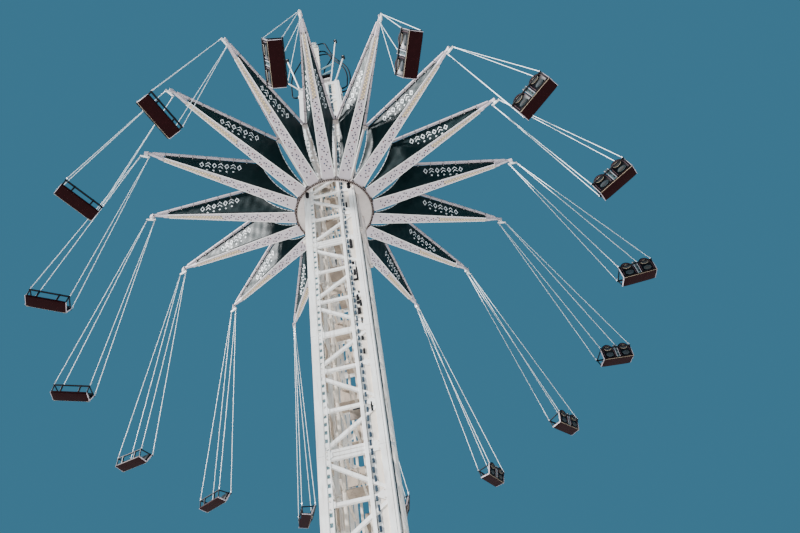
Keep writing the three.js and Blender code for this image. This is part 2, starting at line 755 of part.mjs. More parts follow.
for (let k = 0; k < armCount; k += 1) {
  const { angle, heading, swing, axis } = hang(k);
  const arm = new THREE.Group();
  arm.position.set(0, 0, pivotHeight);
  arm.rotation.z = angle;
  addPiece(numbered('arm', k), armSolid(k), armPaint, arm);
  addPiece(numbered('banner', k), bannerGeometry(), greenFabric, arm);
  part.add(arm);
  const chair = new THREE.Group();
  chair.position.set(pivotRadius * Math.cos(angle), pivotRadius * Math.sin(angle), pivotHeight);
  const turned = new THREE.Quaternion().setFromAxisAngle(point(0, 0, 1), heading);
  const swung = new THREE.Quaternion().setFromAxisAngle(axis, -swing);
  chair.quaternion.copy(swung.multiply(turned));
  addPiece(numbered('chair', k), chairSolid(k), chairShell, chair);
  part.add(chair);
}

export default part;
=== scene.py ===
import math

import bmesh
import bpy
from mathutils import Matrix, Quaternion, Vector


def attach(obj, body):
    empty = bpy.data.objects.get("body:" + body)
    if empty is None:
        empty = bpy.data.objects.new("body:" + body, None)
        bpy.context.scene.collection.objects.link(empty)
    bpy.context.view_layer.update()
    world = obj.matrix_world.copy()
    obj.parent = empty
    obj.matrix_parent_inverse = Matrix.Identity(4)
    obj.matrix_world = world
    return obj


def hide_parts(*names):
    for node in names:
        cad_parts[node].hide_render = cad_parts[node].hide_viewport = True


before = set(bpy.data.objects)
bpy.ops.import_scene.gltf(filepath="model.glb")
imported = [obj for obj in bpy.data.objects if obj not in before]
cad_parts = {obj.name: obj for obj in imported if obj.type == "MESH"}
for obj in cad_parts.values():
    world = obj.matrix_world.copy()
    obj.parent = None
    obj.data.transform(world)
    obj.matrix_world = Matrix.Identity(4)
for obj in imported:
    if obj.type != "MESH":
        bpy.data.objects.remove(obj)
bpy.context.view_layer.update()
print("tower loaded")

# Main sizes in metres, as the tower was drawn; the gap lies between stacked solids
tower = {"pivotHeight": 26.08, "pivotRadius": 5.916, "mastTop": 32.45, "bayHeight": 1.304,
         "ringBottom": 24.68, "gap": 0.0003}
arms = {"count": 16, "start": -84.99, "step": 22.5}
quarters = ((-1, -1), (-1, 1), (1, -1), (1, 1))
up, acrossX, acrossY = Vector((0, 0, 1)), Vector((1, 0, 0)), Vector((0, 1, 0))


def rad(angle):
    return math.radians(angle)


def armAngle(k):
    return rad(arms["start"] + k * arms["step"])


def mix(a, b, share):
    return a + (b - a) * share


def circle(sides, radius=1.0):
    angles = [math.tau * j / sides for j in range(sides)]
    return [(radius * math.cos(angle), radius * math.sin(angle)) for angle in angles]


def levels(low, high, pitch):
    # evenly spaced from low, all below high
    while low < high:
        yield low
        low += pitch


# Camera under the star, looking up along the mast
view = {"place": (2.3548, -14.701, 1.601), "pitch": 53.058, "yaw": -2.583, "roll": -10.910,
        "lens": 39.21, "sensor": 36, "reach": 400}


def makeCamera():
    pitch, yaw, roll = rad(view["pitch"]), rad(view["yaw"]), rad(view["roll"])
    forward = Vector((math.sin(yaw) * math.cos(pitch), math.cos(yaw) * math.cos(pitch), math.sin(pitch)))
    right = Vector((math.cos(yaw), -math.sin(yaw), 0))
    above = right.cross(forward)
    side = right * math.cos(roll) + above * math.sin(roll)
    top = above * math.cos(roll) - right * math.sin(roll)
    lens = bpy.data.cameras.new("photoCamera")
    lens.sensor_width = view["sensor"]
    lens.lens = view["lens"]
    lens.clip_end = view["reach"]
    camera = bpy.data.objects.new("photoCamera", lens)
    turn = Matrix((side, top, -forward)).transposed().to_4x4()
    camera.matrix_world = Matrix.Translation(view["place"]) @ turn
    bpy.context.scene.collection.objects.link(camera)
    bpy.context.scene.camera = camera


makeCamera()


# Shader groups, each built once
def addNode(tree, kind, links=(), **values):
    node = tree.nodes.new(kind)
    for key, value in values.items():
        setattr(node, key, value)
    for socket, source in links:
        if isinstance(source, bpy.types.NodeSocket):
            tree.links.new(source, node.inputs[socket])
        else:
            node.inputs[socket].default_value = source
    return node


def calculate(tree, operation, *sources):
    return addNode(tree, "ShaderNodeMath", enumerate(sources), operation=operation).outputs[0]


def noise(tree, place, scale, detail, roughness=0.5):
    return addNode(tree, "ShaderNodeTexNoise", [
        ("Vector", place), ("Scale", scale), ("Detail", detail), ("Roughness", roughness)]).outputs["Fac"]


def spread(tree, source, low, high, end=1):
    return addNode(tree, "ShaderNodeMapRange", [
        ("Value", source), ("From Min", low), ("From Max", high), ("To Max", end)]).outputs["Result"]


def openGroup(name, colours, numbers):
    group = bpy.data.node_groups.new(name, "ShaderNodeTree")
    colour, number = "NodeSocketColor", "NodeSocketFloat"
    for label in colours:
        group.interface.new_socket(name=label, in_out="INPUT", socket_type=colour)
    for label in numbers:
        group.interface.new_socket(name=label, in_out="INPUT", socket_type=number)
    for label, kind in (("Color", colour), ("Roughness", number), ("Height", number)):
        group.interface.new_socket(name=label, in_out="OUTPUT", socket_type=kind)
    place = group.nodes.new("ShaderNodeTexCoord").outputs["Object"]
    return group, group.nodes.new("NodeGroupInput").outputs, place


def closeGroup(group, enter, mask, rougher, height):
    # the mask blends the two colours and roughens the surface
    blend = addNode(group, "ShaderNodeMix", [(0, mask), (6, enter[0]), (7, enter[1])], data_type="RGBA")
    rough = calculate(group, "MULTIPLY_ADD", mask, rougher, enter["Gloss"])
    leave = group.nodes.new("NodeGroupOutput")
    for label, source in (("Color", blend.outputs[2]), ("Roughness", rough), ("Height", height)):
        group.links.new(source, leave.inputs[label])
    return group


def makeWornPaint():
    group, enter, place = openGroup("wornPaint", ("Paint", "Stain"), ("Fade", "Runs", "Gloss"))
    long = addNode(group, "ShaderNodeMapping", [("Vector", place), ("Scale", (7, 7, 0.7))]).outputs[0]
    clouds = spread(group, noise(group, place, 1.7, 6, 0.6), 0.44, 0.72)
    runs = spread(group, noise(group, long, 2.2, 5), 0.5, 0.72)
    mask = calculate(group, "MAXIMUM", calculate(group, "MULTIPLY", clouds, enter["Fade"]),
                     calculate(group, "MULTIPLY", runs, enter["Runs"]))
    return closeGroup(group, enter, mask, 0.28, noise(group, place, 38, 3))


def makeCloth():
    group, enter, place = openGroup("coatedCloth", ("Cloth", "Faded"), ("Threads", "Gloss"))
    threads = [addNode(group, "ShaderNodeTexWave", [("Vector", place), ("Scale", enter["Threads"])],
                       bands_direction=direction).outputs["Fac"] for direction in ("X", "Z")]
    weave = calculate(group, "ADD", *threads)
    relief = calculate(group, "MULTIPLY_ADD", noise(group, place, 6, 3), 6, weave)
    faded = spread(group, noise(group, place, 2.3, 7, 0.65), 0.4, 0.75)
    return closeGroup(group, enter, faded, 0.2, relief)


def makeMoulded():
    group, enter, place = openGroup("mouldedShell", ("Shell", "Scuff"), ("Grain", "Gloss"))
    scuffs = spread(group, noise(group, place, 9, 8, 0.7), 0.52, 0.8, 0.8)
    cells = addNode(group, "ShaderNodeTexVoronoi", [("Vector", place), ("Scale", enter["Grain"])])
    return closeGroup(group, enter, scuffs, 0.35, cells.outputs["Distance"])


def makeMaterial(name, group, values, bump=0.12, depth=0.0008, **plain):
    # values in the order of the group's sockets
    material = bpy.data.materials.new(name)
    material.use_nodes = True
    tree = material.node_tree
    shader = tree.nodes["Principled BSDF"]
    values = [(*value, 1) if isinstance(value, tuple) else value for value in values]
    effect = addNode(tree, "ShaderNodeGroup", enumerate(values), node_tree=group).outputs
    relief = addNode(tree, "ShaderNodeBump", [
        ("Height", effect["Height"]), ("Strength", bump), ("Distance", depth)])
    tree.links.new(effect["Color"], shader.inputs["Base Color"])
    tree.links.new(effect["Roughness"], shader.inputs["Roughness"])
    tree.links.new(relief.outputs["Normal"], shader.inputs["Normal"])
    for label, value in plain.items():
        shader.inputs[label.replace("_", " ")].default_value = value
    return material


wornPaint, coatedCloth, mouldedShell = makeWornPaint(), makeCloth(), makeMoulded()

# Paints: colour, stain, fade, runs, gloss
finishes = {
    "whitePaint": ((0.9, 0.885, 0.86), (0.5, 0.43, 0.37), 0.4, 0.65, 0.32),
    "creamPaint": ((0.81, 0.72, 0.62), (0.45, 0.37, 0.31), 0.5, 0.7, 0.4),
    "ringPaint": ((0.62, 0.55, 0.52), (0.36, 0.29, 0.26), 0.5, 0.3, 0.42),
    "lampPlate": ((0.5, 0.435, 0.465), (0.37, 0.3, 0.31), 0.6, 0.2, 0.45),
    "darkSteel": ((0.006, 0.006, 0.008), (0.022, 0.017, 0.016), 0.4, 0.4, 0.45),
    "brownSteel": ((0.028, 0.014, 0.013), (0.085, 0.05, 0.04), 0.6, 0.3, 0.5),
    "tealPanel": ((0.2, 0.31, 0.34), (0.11, 0.17, 0.19), 0.7, 0.5, 0.3),
    "ovalGrey": ((0.022, 0.029, 0.038), (0.055, 0.047, 0.036), 0.8, 0.4, 0.6),
    "seatTeal": ((0.045, 0.08, 0.09), (0.02, 0.035, 0.04), 0.6, 0.5, 0.55),
    "tanBoard": ((0.47, 0.38, 0.3), (0.13, 0.1, 0.09), 0.9, 0.7, 0.5),
    "lampBand": ((0.36, 0.29, 0.23), (0.22, 0.17, 0.13), 0.7, 0.3, 0.5),
    "navyLoom": ((0.02, 0.035, 0.055), (0.07, 0.1, 0.12), 0.7, 0.5, 0.4),
    "chainSteel": ((0.85, 0.86, 0.88), (0.6, 0.6, 0.6), 0.4, 0.2, 0.3),
    "sleeve": ((0.87, 0.95, 0.98), (0.7, 0.8, 0.84), 0.4, 0.3, 0.3),
    "paleTrim": ((0.5, 0.43, 0.46), (0.2, 0.16, 0.18), 0.6, 0.6, 0.38),
    "rosyGrey": ((0.11, 0.055, 0.065), (0.05, 0.022, 0.026), 0.5, 0.4, 0.38),
    "beigeTrim": ((0.4, 0.32, 0.22), (0.2, 0.15, 0.1), 0.5, 0.3, 0.4),
}
mattPaints = ("darkSteel", "brownSteel", "navyLoom", "ovalGrey", "seatTeal", "rosyGrey")
extras = dict.fromkeys(mattPaints, {"Specular_IOR_Level": 0.12})
extras["chainSteel"] = {"Metallic": 0.3}
paint = {name: makeMaterial(name, wornPaint, values, **extras.get(name, {}))
         for name, values in finishes.items()}

# Cloths and plastics: the group's values, then bump, its depth and the specular level
cloths = {
    "fabric": ("greenCloth", ((0.002, 0.01, 0.0115), (0.006, 0.02, 0.022), 260, 0.45), 0.35, 0.0006, 0.18),
    "print": ("printedCloth", ((0.86, 0.88, 0.89), (0.62, 0.66, 0.68), 260, 0.55), 0.3, 0.0006, 0.5),
    "hem": ("hemTape", ((0.004, 0.006, 0.007), (0.015, 0.018, 0.018), 500, 0.6), 0.4, 0.0006, 0.2),
    "lacing": ("whiteTape", ((0.82, 0.83, 0.84), (0.5, 0.52, 0.54), 500, 0.6), 0.4, 0.0006, 0.5),
}
plastics = {
    "shell": ("maroonShell", ((0.011, 0.0015, 0.0021), (0.021, 0.004, 0.005), 260, 0.4), 0.04, 0.0004, 0.04),
    "backShell": ("blackShell", ((0.002, 0.0018, 0.003), (0.01, 0.005, 0.006), 260, 0.4), 0.05, 0.0004, 0.12),
    "rubber": ("hoseRubber", ((0.002, 0.002, 0.0025), (0.008, 0.008, 0.008), 90, 0.5), 0.2, 0.001, 0.06),
}
for group, table in ((coatedCloth, cloths), (mouldedShell, plastics)):
    for key, (name, values, bump, depth, specular) in table.items():
        paint[key] = makeMaterial(name, group, values, bump, depth, Specular_IOR_Level=specular)
lensTones = {"violet": (0.03, 0.015, 0.06), "blue": (0.012, 0.03, 0.1), "smoke": (0.015, 0.012, 0.016),
             "rose": (0.2, 0.035, 0.045), "amber": (0.93, 0.72, 0.36), "honey": (0.6, 0.44, 0.25)}
for lens, tone in lensTones.items():
    scuffed = tuple(0.7 * part + 0.04 for part in tone)
    paint[lens] = makeMaterial(lens + "Lens", mouldedShell, (tone, scuffed, 120, 0.2), 0.15, Coat_Weight=0.2)
print("materials made")


# Shape helpers: each adds one shape to a bmesh
def finishShape(bm, verts, paintIndex, bevel, steps=1):
    for face in {face for vert in verts for face in vert.link_faces}:
        face.material_index = paintIndex
    if bevel:
        edges = [edge for edge in dict.fromkeys(edge for vert in verts for edge in vert.link_edges)
                 if edge.is_manifold and edge.calc_face_angle(0) > 0.6]
        bmesh.ops.bevel(bm, geom=edges, offset=bevel, segments=steps, profile=0.5, affect="EDGES",
                        clamp_overlap=True, material=-1)


def addBox(bm, centre, size, paintIndex=0, bevel=0.0, turn=None, steps=1):
    matrix = Matrix.Translation(centre)
    if turn is not None:
        matrix = matrix @ turn.to_4x4()
    matrix = matrix @ Matrix.Diagonal((*size, 1))
    finishShape(bm, bmesh.ops.create_cube(bm, size=1, matrix=matrix)["verts"], paintIndex, bevel, steps)


def barFrame(start, end, face):
    along = (end - start).normalized()
    across = Vector(face).cross(along).normalized()
    return Matrix((across, along.cross(across), along)).transposed()


def addBar(bm, start, end, width, depth, face=up, paintIndex=0, bevel=0.0):
    start, end = Vector(start), Vector(end)
    size = (width, depth, (end - start).length)
    addBox(bm, (start + end) / 2, size, paintIndex, bevel, barFrame(start, end, face))


def addRod(bm, start, end, radius, sides=10, paintIndex=0, radiusEnd=None, bevel=0.0):
    start, end = Vector(start), Vector(end)
    along = end - start
    matrix = Matrix.Translation((start + end) / 2) @ along.to_track_quat("Z", "Y").to_matrix().to_4x4()
    rod = bmesh.ops.create_cone(bm, cap_ends=True, segments=sides, radius1=radius, matrix=matrix,
                                radius2=radius if radiusEnd is None else radiusEnd, depth=along.length)
    finishShape(bm, rod["verts"], paintIndex, bevel)


def joinRings(bm, rings, paintIndex=0, closed=False):
    for ring, following in zip(rings, rings[1:] + rings[:1] if closed else rings[1:]):
        for j in range(len(ring)):
            n = (j + 1) % len(ring)
            bm.faces.new((ring[j], ring[n], following[n], following[j])).material_index = paintIndex
    if not closed:
        for cap in (rings[0][::-1], rings[-1]):
            bm.faces.new(cap).material_index = paintIndex


def addTube(bm, points, radius, sides=6, paintIndex=0, closed=False, side=up):
    # one side of each ring is turned as little as possible from the ring before
    points = [Vector(point) for point in points]
    rings = []
    for i, point in enumerate(points):
        before = points[i - 1] if i or closed else point
        after = points[(i + 1) % len(points)] if i < len(points) - 1 or closed else point
        along = (after - before).normalized()
        side = side - along * side.dot(along)
        if side.length < 1e-6:
            side = along.orthogonal()
        side.normalize()
        other = along.cross(side)
        rings.append([bm.verts.new(point + radius * (side * x + other * y)) for x, y in circle(sides)])
    joinRings(bm, rings, paintIndex, closed)


def addPlate(bm, outline, thickness, paintIndex=0, bevel=0.0):
    outline = [Vector(point) for point in outline]
    normal = (outline[1] - outline[0]).cross(outline[2] - outline[0]).normalized() * thickness / 2
    front, back = ([bm.verts.new(point + shift) for point in outline] for shift in (normal, -normal))
    joinRings(bm, (back, front))
    finishShape(bm, front + back, paintIndex, bevel)


def addBolt(bm, place, direction, size=0.014, paintIndex=0):
    place, direction = Vector(place), Vector(direction).normalized()
    washer = place + direction * 0.25 * size
    addRod(bm, place, washer, 1.35 * size, 10, paintIndex)
    addRod(bm, washer, place + direction * size, size, 6, paintIndex)


def addLens(bm, place, direction, radius, paintIndex, rimIndex):
    rim = place + direction * 0.35 * radius
    addRod(bm, place, rim, 1.25 * radius, 8, rimIndex)
    addRod(bm, rim, place + direction * 0.85 * radius, radius, 8, paintIndex, radiusEnd=0.45 * radius)


def makeMesh(bm, name, materials, sharp=38):
    bmesh.ops.recalc_face_normals(bm, faces=bm.faces)
    mesh = bpy.data.meshes.new(name)
    bm.to_mesh(mesh)
    bm.free()
    for material in materials:
        mesh.materials.append(paint[material])
    mesh.polygons.foreach_set("use_smooth", [True] * len(mesh.polygons))
    mesh.set_sharp_from_angle(angle=rad(sharp))
    return mesh


def putPiece(name, mesh, body, place=None, stands=()):
    piece = bpy.data.objects.new(name, mesh)
    bpy.context.scene.collection.objects.link(piece)
    if place is not None:
        piece.matrix_world = place
    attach(piece, body)
    for node in stands:
        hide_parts(node)
    return piece


def numbered(stem, k):
    return f"{stem}_{k + 1:02d}"


# Hoses between the cable post, the winch and the mast, as (x, z) along each, with y from start to end
hoses = {
    "radius": 0.025, "glandY": -0.69, "collar": (0.034, 0.03), "boot": (0.031, 0.0265, 0.1),
    "overhead": {"start": -0.47, "route": [
        (-0.03, 36.8506), (-0.03, 36.93), (-0.014, 37.01), (0.032, 37.078), (0.1, 37.124), (0.18, 37.14),
        (0.26, 37.124), (0.328, 37.078), (0.374, 37.0), (0.405, 36.85), (0.45, 36.6), (0.51, 36.2),
        (0.585, 35.8), (0.68, 35.35), (0.8, 34.95), (0.93, 34.6), (1.05, 34.25), (1.145, 33.85),
        (1.205, 33.4), (1.222, 32.95), (1.205, 32.5), (1.17, 32.15), (1.14, 31.88), (1.106, 31.735),
        (1.015, 31.636), (0.89, 31.6), (0.8306, 31.6)]},
    "side": {"start": -0.425, "route": [
        (0.0806, 36.45), (0.15, 36.45), (0.23, 36.422), (0.31, 36.34), (0.375, 36.22), (0.43, 36.05),
        (0.49, 35.8), (0.56, 35.5), (0.65, 35.15), (0.76, 34.85), (0.87, 34.55), (0.965, 34.2),
        (1.045, 33.8), (1.095, 33.35), (1.11, 32.9), (1.095, 32.5), (1.075, 32.26), (1.07, 32.13),
        (1.041, 32.015), (0.96, 31.932), (0.86, 31.9), (0.8306, 31.9)]},
    "winch": {"start": -0.53, "end": -0.43, "route": [
        (0.0806, 35.83), (0.16, 35.83), (0.26, 35.822), (0.36, 35.795), (0.45, 35.74), (0.52, 35.65),
        (0.562, 35.53), (0.574, 35.4), (0.56, 35.27), (0.525, 35.14), (0.47, 35.0), (0.4, 34.85),
        (0.33, 34.7), (0.27, 34.55), (0.225, 34.38), (0.203, 34.2), (0.198, 34.0), (0.198, 33.85),
        (0.198, 33.7009)]},
    "left": {"start": -0.47, "route": [
        (-0.1406, 36.5), (-0.22, 36.5), (-0.31, 36.46), (-0.4, 36.38), (-0.48, 36.26), (-0.56, 36.08),
        (-0.64, 35.85), (-0.72, 35.6), (-0.8, 35.3), (-0.88, 35.0), (-0.955, 34.7), (-1.02, 34.35),
        (-1.065, 33.95), (-1.085, 33.5), (-1.082, 33.05), (-1.07, 32.7), (-1.058, 32.4), (-1.05, 32.19),
        (-1.023, 32.085), (-0.95, 32.009), (-0.86, 31.98), (-0.8306, 31.98)]},
}


def hosePoints(hose):
    route = hose["route"]
    first, last = route[0][1], route[-1][1]
    points = []
    for x, z in route:
        share = min(1, max(0, (z - first) / (last - first)))
        share = share * share * (3 - 2 * share)
        points.append(Vector((x, mix(hose["start"], hose.get("end", hoses["glandY"]), share), z)))
    return points


def makeHose(k, key):
    points = hosePoints(hoses[key])
    line = bpy.data.curves.new(f"{key}Hose", "CURVE")
    line.dimensions = "3D"
    line.bevel_depth = hoses["radius"]
    line.bevel_resolution = 2
    line.resolution_u = 4
    spline = line.splines.new("BEZIER")
    spline.bezier_points.add(len(points) - 1)
    for knot, point in zip(spline.bezier_points, points):
        knot.co = point
        knot.handle_left_type = knot.handle_right_type = "AUTO"
    line.materials.append(paint["rubber"])
    hose = putPiece(f"{key}Hose", line, "tower", stands=[f"hose_{k + 1}"])
    bm = bmesh.new()
    (collarRadius, collarLength), (bootRadius, bootEnd, bootLength) = hoses["collar"], hoses["boot"]
    for end, inward in ((points[0], points[1]), (points[-1], points[-2])):
        along = (inward - end).normalized()
        collar = end + along * collarLength
        addRod(bm, end, collar, collarRadius, 12, 0)
        addRod(bm, collar, end + along * bootLength, bootRadius, 12, 1, radiusEnd=bootEnd)
    mesh = makeMesh(bm, f"{key}HoseEnds", ["darkSteel", "rubber"])
    collars = putPiece(f"{key}HoseEnds", mesh, "tower")
    return hose, collars, points


for k, key in enumerate(("overhead", "side", "winch", "left")):
    hose, collars, points = makeHose(k, key)
print("hoses hung")


# Plain floor and soft light
studio = {"floor": (0.72, 0.71, 0.69), "floorSize": 150, "floorRoughness": 0.9,
          "wall": (0.05, 0.18, 0.285), "wallStrength": 1.0,
          "keyAngle": -158, "keyLift": 34, "keyStrength": 14, "keySoftness": 7}


def makeFloor():
    bm = bmesh.new()
    bmesh.ops.create_grid(bm, x_segments=1, y_segments=1, size=studio["floorSize"])
    mesh = bpy.data.meshes.new("floor")
    bm.to_mesh(mesh)
    bm.free()
    material = bpy.data.materials.new("floor")
    material.use_nodes = True
    shader = material.node_tree.nodes["Principled BSDF"]
    shader.inputs["Base Color"].default_value = (*studio["floor"], 1)
    shader.inputs["Roughness"].default_value = studio["floorRoughness"]
    mesh.materials.append(material)
    floor = bpy.data.objects.new("floor", mesh)
    bpy.context.scene.collection.objects.link(floor)


def makeLight():
    world = bpy.data.worlds.new("studio")
    world.use_nodes = True
    background = world.node_tree.nodes["Background"]
    background.inputs["Color"].default_value = (*studio["wall"], 1)
    background.inputs["Strength"].default_value = studio["wallStrength"]
    bpy.context.scene.world = world
    key = bpy.data.lights.new("key", "SUN")
    key.energy = studio["keyStrength"]
    key.angle = rad(studio["keySoftness"])
    lamp = bpy.data.objects.new("key", key)
    azimuth, lift = rad(studio["keyAngle"]), rad(studio["keyLift"])
    level = math.cos(lift)
    towards = Vector((math.cos(azimuth) * level, math.sin(azimuth) * level, math.sin(lift)))
    lamp.rotation_mode = "QUATERNION"
    lamp.rotation_quaternion = towards.to_track_quat("Z", "Y")
    bpy.context.scene.collection.objects.link(lamp)


makeFloor()
makeLight()

# Solids that keep their shape get their paint
solidPaints = {"mast_section": "whitePaint", "base_plate": "creamPaint", "carriage": "ringPaint",
               "rotor": "ringPaint", "arm_": "lampPlate"}
for name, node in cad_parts.items():
    for start, material in solidPaints.items():
        if name.startswith(start):
            for slot in node.material_slots:
                slot.material = paint[material]
print("stage and solids painted")


# Mast trim, from the top section down: racks, rails, dash line, looms, tray, gussets, joints and the inside
mastTrim = {
    "foot": 0.1003, "sectionBays": (5, 6, 6, 7), "pitch": 0.2445,
    "paints": ("whitePaint", "creamPaint", "darkSteel", "tealPanel", "navyLoom", "tanBoard"),
    # upright strips: place across, width, near and far face, paint, bevel
    "everySide": ((-0.598, 0.022, 0.745, 0.775, 0, 0), (-0.504, 0.022, 0.745, 0.775, 0, 0),
                  (-0.551, 0.106, 0.735, 0.743, 3, 0), (0.728, 0.008, 0.774, 0.7802, 2, 0)),
    "railSides": ((0.303, 0.084, 0.74, 0.776, 0, 0.004), (0.534, 0.128, 0.735, 0.75, 1, 0.003)),
    "plainSides": ((0.551, 0.05, 0.742, 0.776, 0, 0.004),),
    "webX": -0.551, "webSize": (0.086, 0.1245), "dashX": 0.408, "trayX": -0.35, "trayStep": 0.9,
    # cable looms: start, end, place across, width
    "looms": ((21.5, 21.95, 0.49, 0.08), (20.0, 20.86, 0.56, 0.045), (20.0, 20.09, 0.5, 0.12),
              (20.7, 20.86, 0.49, 0.09), (20.25, 20.5, 0.5, 0.07), (18.6, 18.86, 0.5, 0.09),
              (18.9, 19.15, 0.56, 0.06), (19.0, 19.12, 0.5, 0.08), (19.16, 19.4, 0.5, 0.08),
              (19.42, 19.55, 0.55, 0.07), (18.2, 18.45, 0.54, 0.05), (17.6, 17.75, 0.5, 0.06),
              (17.1, 17.3, 0.5, 0.05), (15.2, 15.5, 0.52, 0.05), (23.6, 23.9, 0.5, 0.05),
              (25.1, 25.6, 0.47, 0.06), (27.3, 27.7, 0.5, 0.05), (29.4, 29.7, 0.48, 0.05)),
    # boards inside: place, width, height
    "boards": ((-0.2, 0.12, 20.95, 0.5, 0.42), (0.22, 0.3, 18.4, 0.3, 0.5), (-0.3, 0.2, 26.6, 0.4, 0.5),
               (0.1, -0.1, 15.9, 0.4, 0.4), (-0.15, 0.25, 12.4, 0.5, 0.4), (0.0, 0.2, 29.3, 0.45, 0.4)),
    "uprights": ((-0.33, -0.3, 0.07), (0.1, 0.28, 0.07), (0.35, -0.1, 0.05), (-0.12, 0.42, 0.05)),
    "gusset": ((0.6, -0.16), (0.6, 0.16), (0.44, 0.055), (0.44, -0.055)), "gussetY": -0.7675,
    "flangeBolts": ((0.575, 0.575), (0.575, 0.65), (0.65, 0.575)),
}


def sideTurn(side):
    return Matrix.Rotation(side * math.pi / 2, 3, "Z")


def addOnFace(bm, side, x, z, width, height, near, far, paintIndex, bevel=0.0):
    place = sideTurn(side) @ Vector((x, -(near + far) / 2, z))
    addBox(bm, place, (width, far - near, height), paintIndex, bevel, sideTurn(side))


def addStrips(bm, side, low, top):
    kind = "plainSides" if side % 2 else "railSides"
    for x, width, near, far, paintIndex, bevel in mastTrim["everySide"] + mastTrim[kind]:
        addOnFace(bm, side, x, (top + low) / 2, width, top - low, near, far, paintIndex, bevel)
    for level in levels(low + 0.05, top - 0.05, mastTrim["pitch"]):
        addOnFace(bm, side, mastTrim["webX"], level, *mastTrim["webSize"], 0.748, 0.772, 0)


def addDashLine(bm, side, low, top, backing):
    x = mastTrim["dashX"]
    addOnFace(bm, side, x, (top + low) / 2, 0.1, top - low, 0.728, 0.738, backing)
    for step, level in enumerate(levels(low + 0.1, top - 0.1, mastTrim["pitch"])):
        height = 0.15 + 0.03 * math.sin(1.7 * step)
        addOnFace(bm, side, x + 0.012 * math.sin(2.3 * step), level, 0.052, height, 0.739, 0.768, 4, 0.006)
    for start, end, x, width in mastTrim["looms"]:
        if low + 0.02 < start and end < top - 0.02:
            addOnFace(bm, side, x, (start + end) / 2, width, end - start, 0.7505, 0.772, 2, 0.008)


def addTray(bm, side, low, top):
    # cable tray with pale and dark covers on it
    x, pitch = mastTrim["trayX"], mastTrim["trayStep"]
    addOnFace(bm, side, x, (top + low) / 2, 0.24, top - low, 0.764, 0.7788, 2)
    for step in range(int((top - low) / pitch)):
        height = 0.35 + 0.2 * math.sin(1.3 * step)
        addOnFace(bm, side, x + 0.05 * math.sin(2.1 * step), low + 0.3 + pitch * step, 0.07, height,
                  0.77, 0.7796, 1 + 3 * (step % 2), 0.002)


def addGussets(bm, side, low, top, bays):
    turn = sideTurn(side)
    for step in range(bays + 1):
        # the first and last are shifted into the section
        level = top - step * tower["bayHeight"] + {0: -0.042, bays: 0.042}.get(step, 0)
        for end in (-1, 1):
            outline = []
            for x, z in mastTrim["gusset"]:
                z = min(max(level + z, low + 0.002), top - 0.002)
                outline.append(turn @ Vector((end * x, mastTrim["gussetY"], z)))
            addPlate(bm, outline[::-end], 0.008)
            for z in (level - 0.1, level + 0.1):
                if low + 0.03 < z < top - 0.03:
                    addBolt(bm, turn @ Vector((end * 0.57, -0.7715, z)), turn @ -acrossY, 0.013, 1)


def addJoint(bm, level, low, top):
    # bars beside a joint inside a section, then the flanges at the posts
    if low + 0.5 < level < top - 0.5:
        for turn in map(sideTurn, range(4)):
            for z in (level - 0.105, level + 0.105):
                ends = [turn @ Vector((x, -0.735, z)) for x in (-0.69, 0.69)]
                addBar(bm, *ends, 0.07, 0.056, turn @ acrossY)
    for sx, sy in quarters:
        for z in (-0.013, 0.013):
            if low < level + z < top:
                addBox(bm, (sx * 0.665, sy * 0.665, level + z), (0.229, 0.229, 0.022), 0, 0.003)
                for x, y in mastTrim["flangeBolts"]:
                    addBolt(bm, (sx * x, sy * y, level + z * 1.85), up * z, 0.014, 1)
        addBox(bm, (sx * 0.69, sy * 0.69, level), (0.1803, 0.1803, 0.004), 2)


def addInside(bm, low, top, bays):
    for x, y, z, width, height in mastTrim["boards"]:
        if low + 0.3 < z < top - 0.3:
            addBox(bm, (x, y, z), (width, 0.03, height), 5, 0.006)
            addBox(bm, (x, y - 0.02, z + 0.1), (width * 0.6, 0.012, 0.03), 4, 0.003)
    for x, y, size in mastTrim["uprights"]:
        addBox(bm, (x, y, (top + low) / 2), (size, size, top - low), 1, 0.004)
    addRod(bm, (0.2, 0.12, low), (0.2, 0.12, top), 0.035, 10, 2)
    for step in range(bays):
        level = top - (step + 0.5) * tower["bayHeight"]
        offset = 0.16 * (-1) ** step
        for place, size in (((offset, 0.2, level + 0.3), (0.6, 0.36, 0.02)),
                            ((-offset, 0.62, level - 0.2), (0.5, 0.02, 0.5)),
                            ((-0.66, 0.3 - offset, level), (0.02, 0.34, 0.6))):
            addBox(bm, place, size, 5, 0.004)
        for x in (-0.33, 0.1):
            addBar(bm, (x, -0.7, level), (x, 0.7, level), 0.05, 0.05, up, 1)


def makeMastTrim(index, top, low, firstBay, bays):
    bm = bmesh.new()
    for side in range(4):
        addStrips(bm, side, low, top)
        if side % 2 == 0:
            addDashLine(bm, side, low, top, 0 if index else 3)
        addGussets(bm, side, low, top, bays)
    addTray(bm, 1, low, top)
    for step in range(bays + 1):
        if (firstBay + step) % 3 == 2:
            addJoint(bm, top - step * tower["bayHeight"], low, top)
    addInside(bm, low, top, bays)
    name = f"mastTrim_{4 - index}"
    putPiece(name, makeMesh(bm, name, mastTrim["paints"]), "tower")


levelTop, bay = tower["mastTop"], 0
for index, bays in enumerate(mastTrim["sectionBays"]):
    levelLow = levelTop - bays * tower["bayHeight"]
    makeMastTrim(index, levelTop, levelLow + tower["gap"] if index < 3 else mastTrim["foot"], bay, bays)
    levelTop = levelLow
    bay += bays
print("mast trimmed")


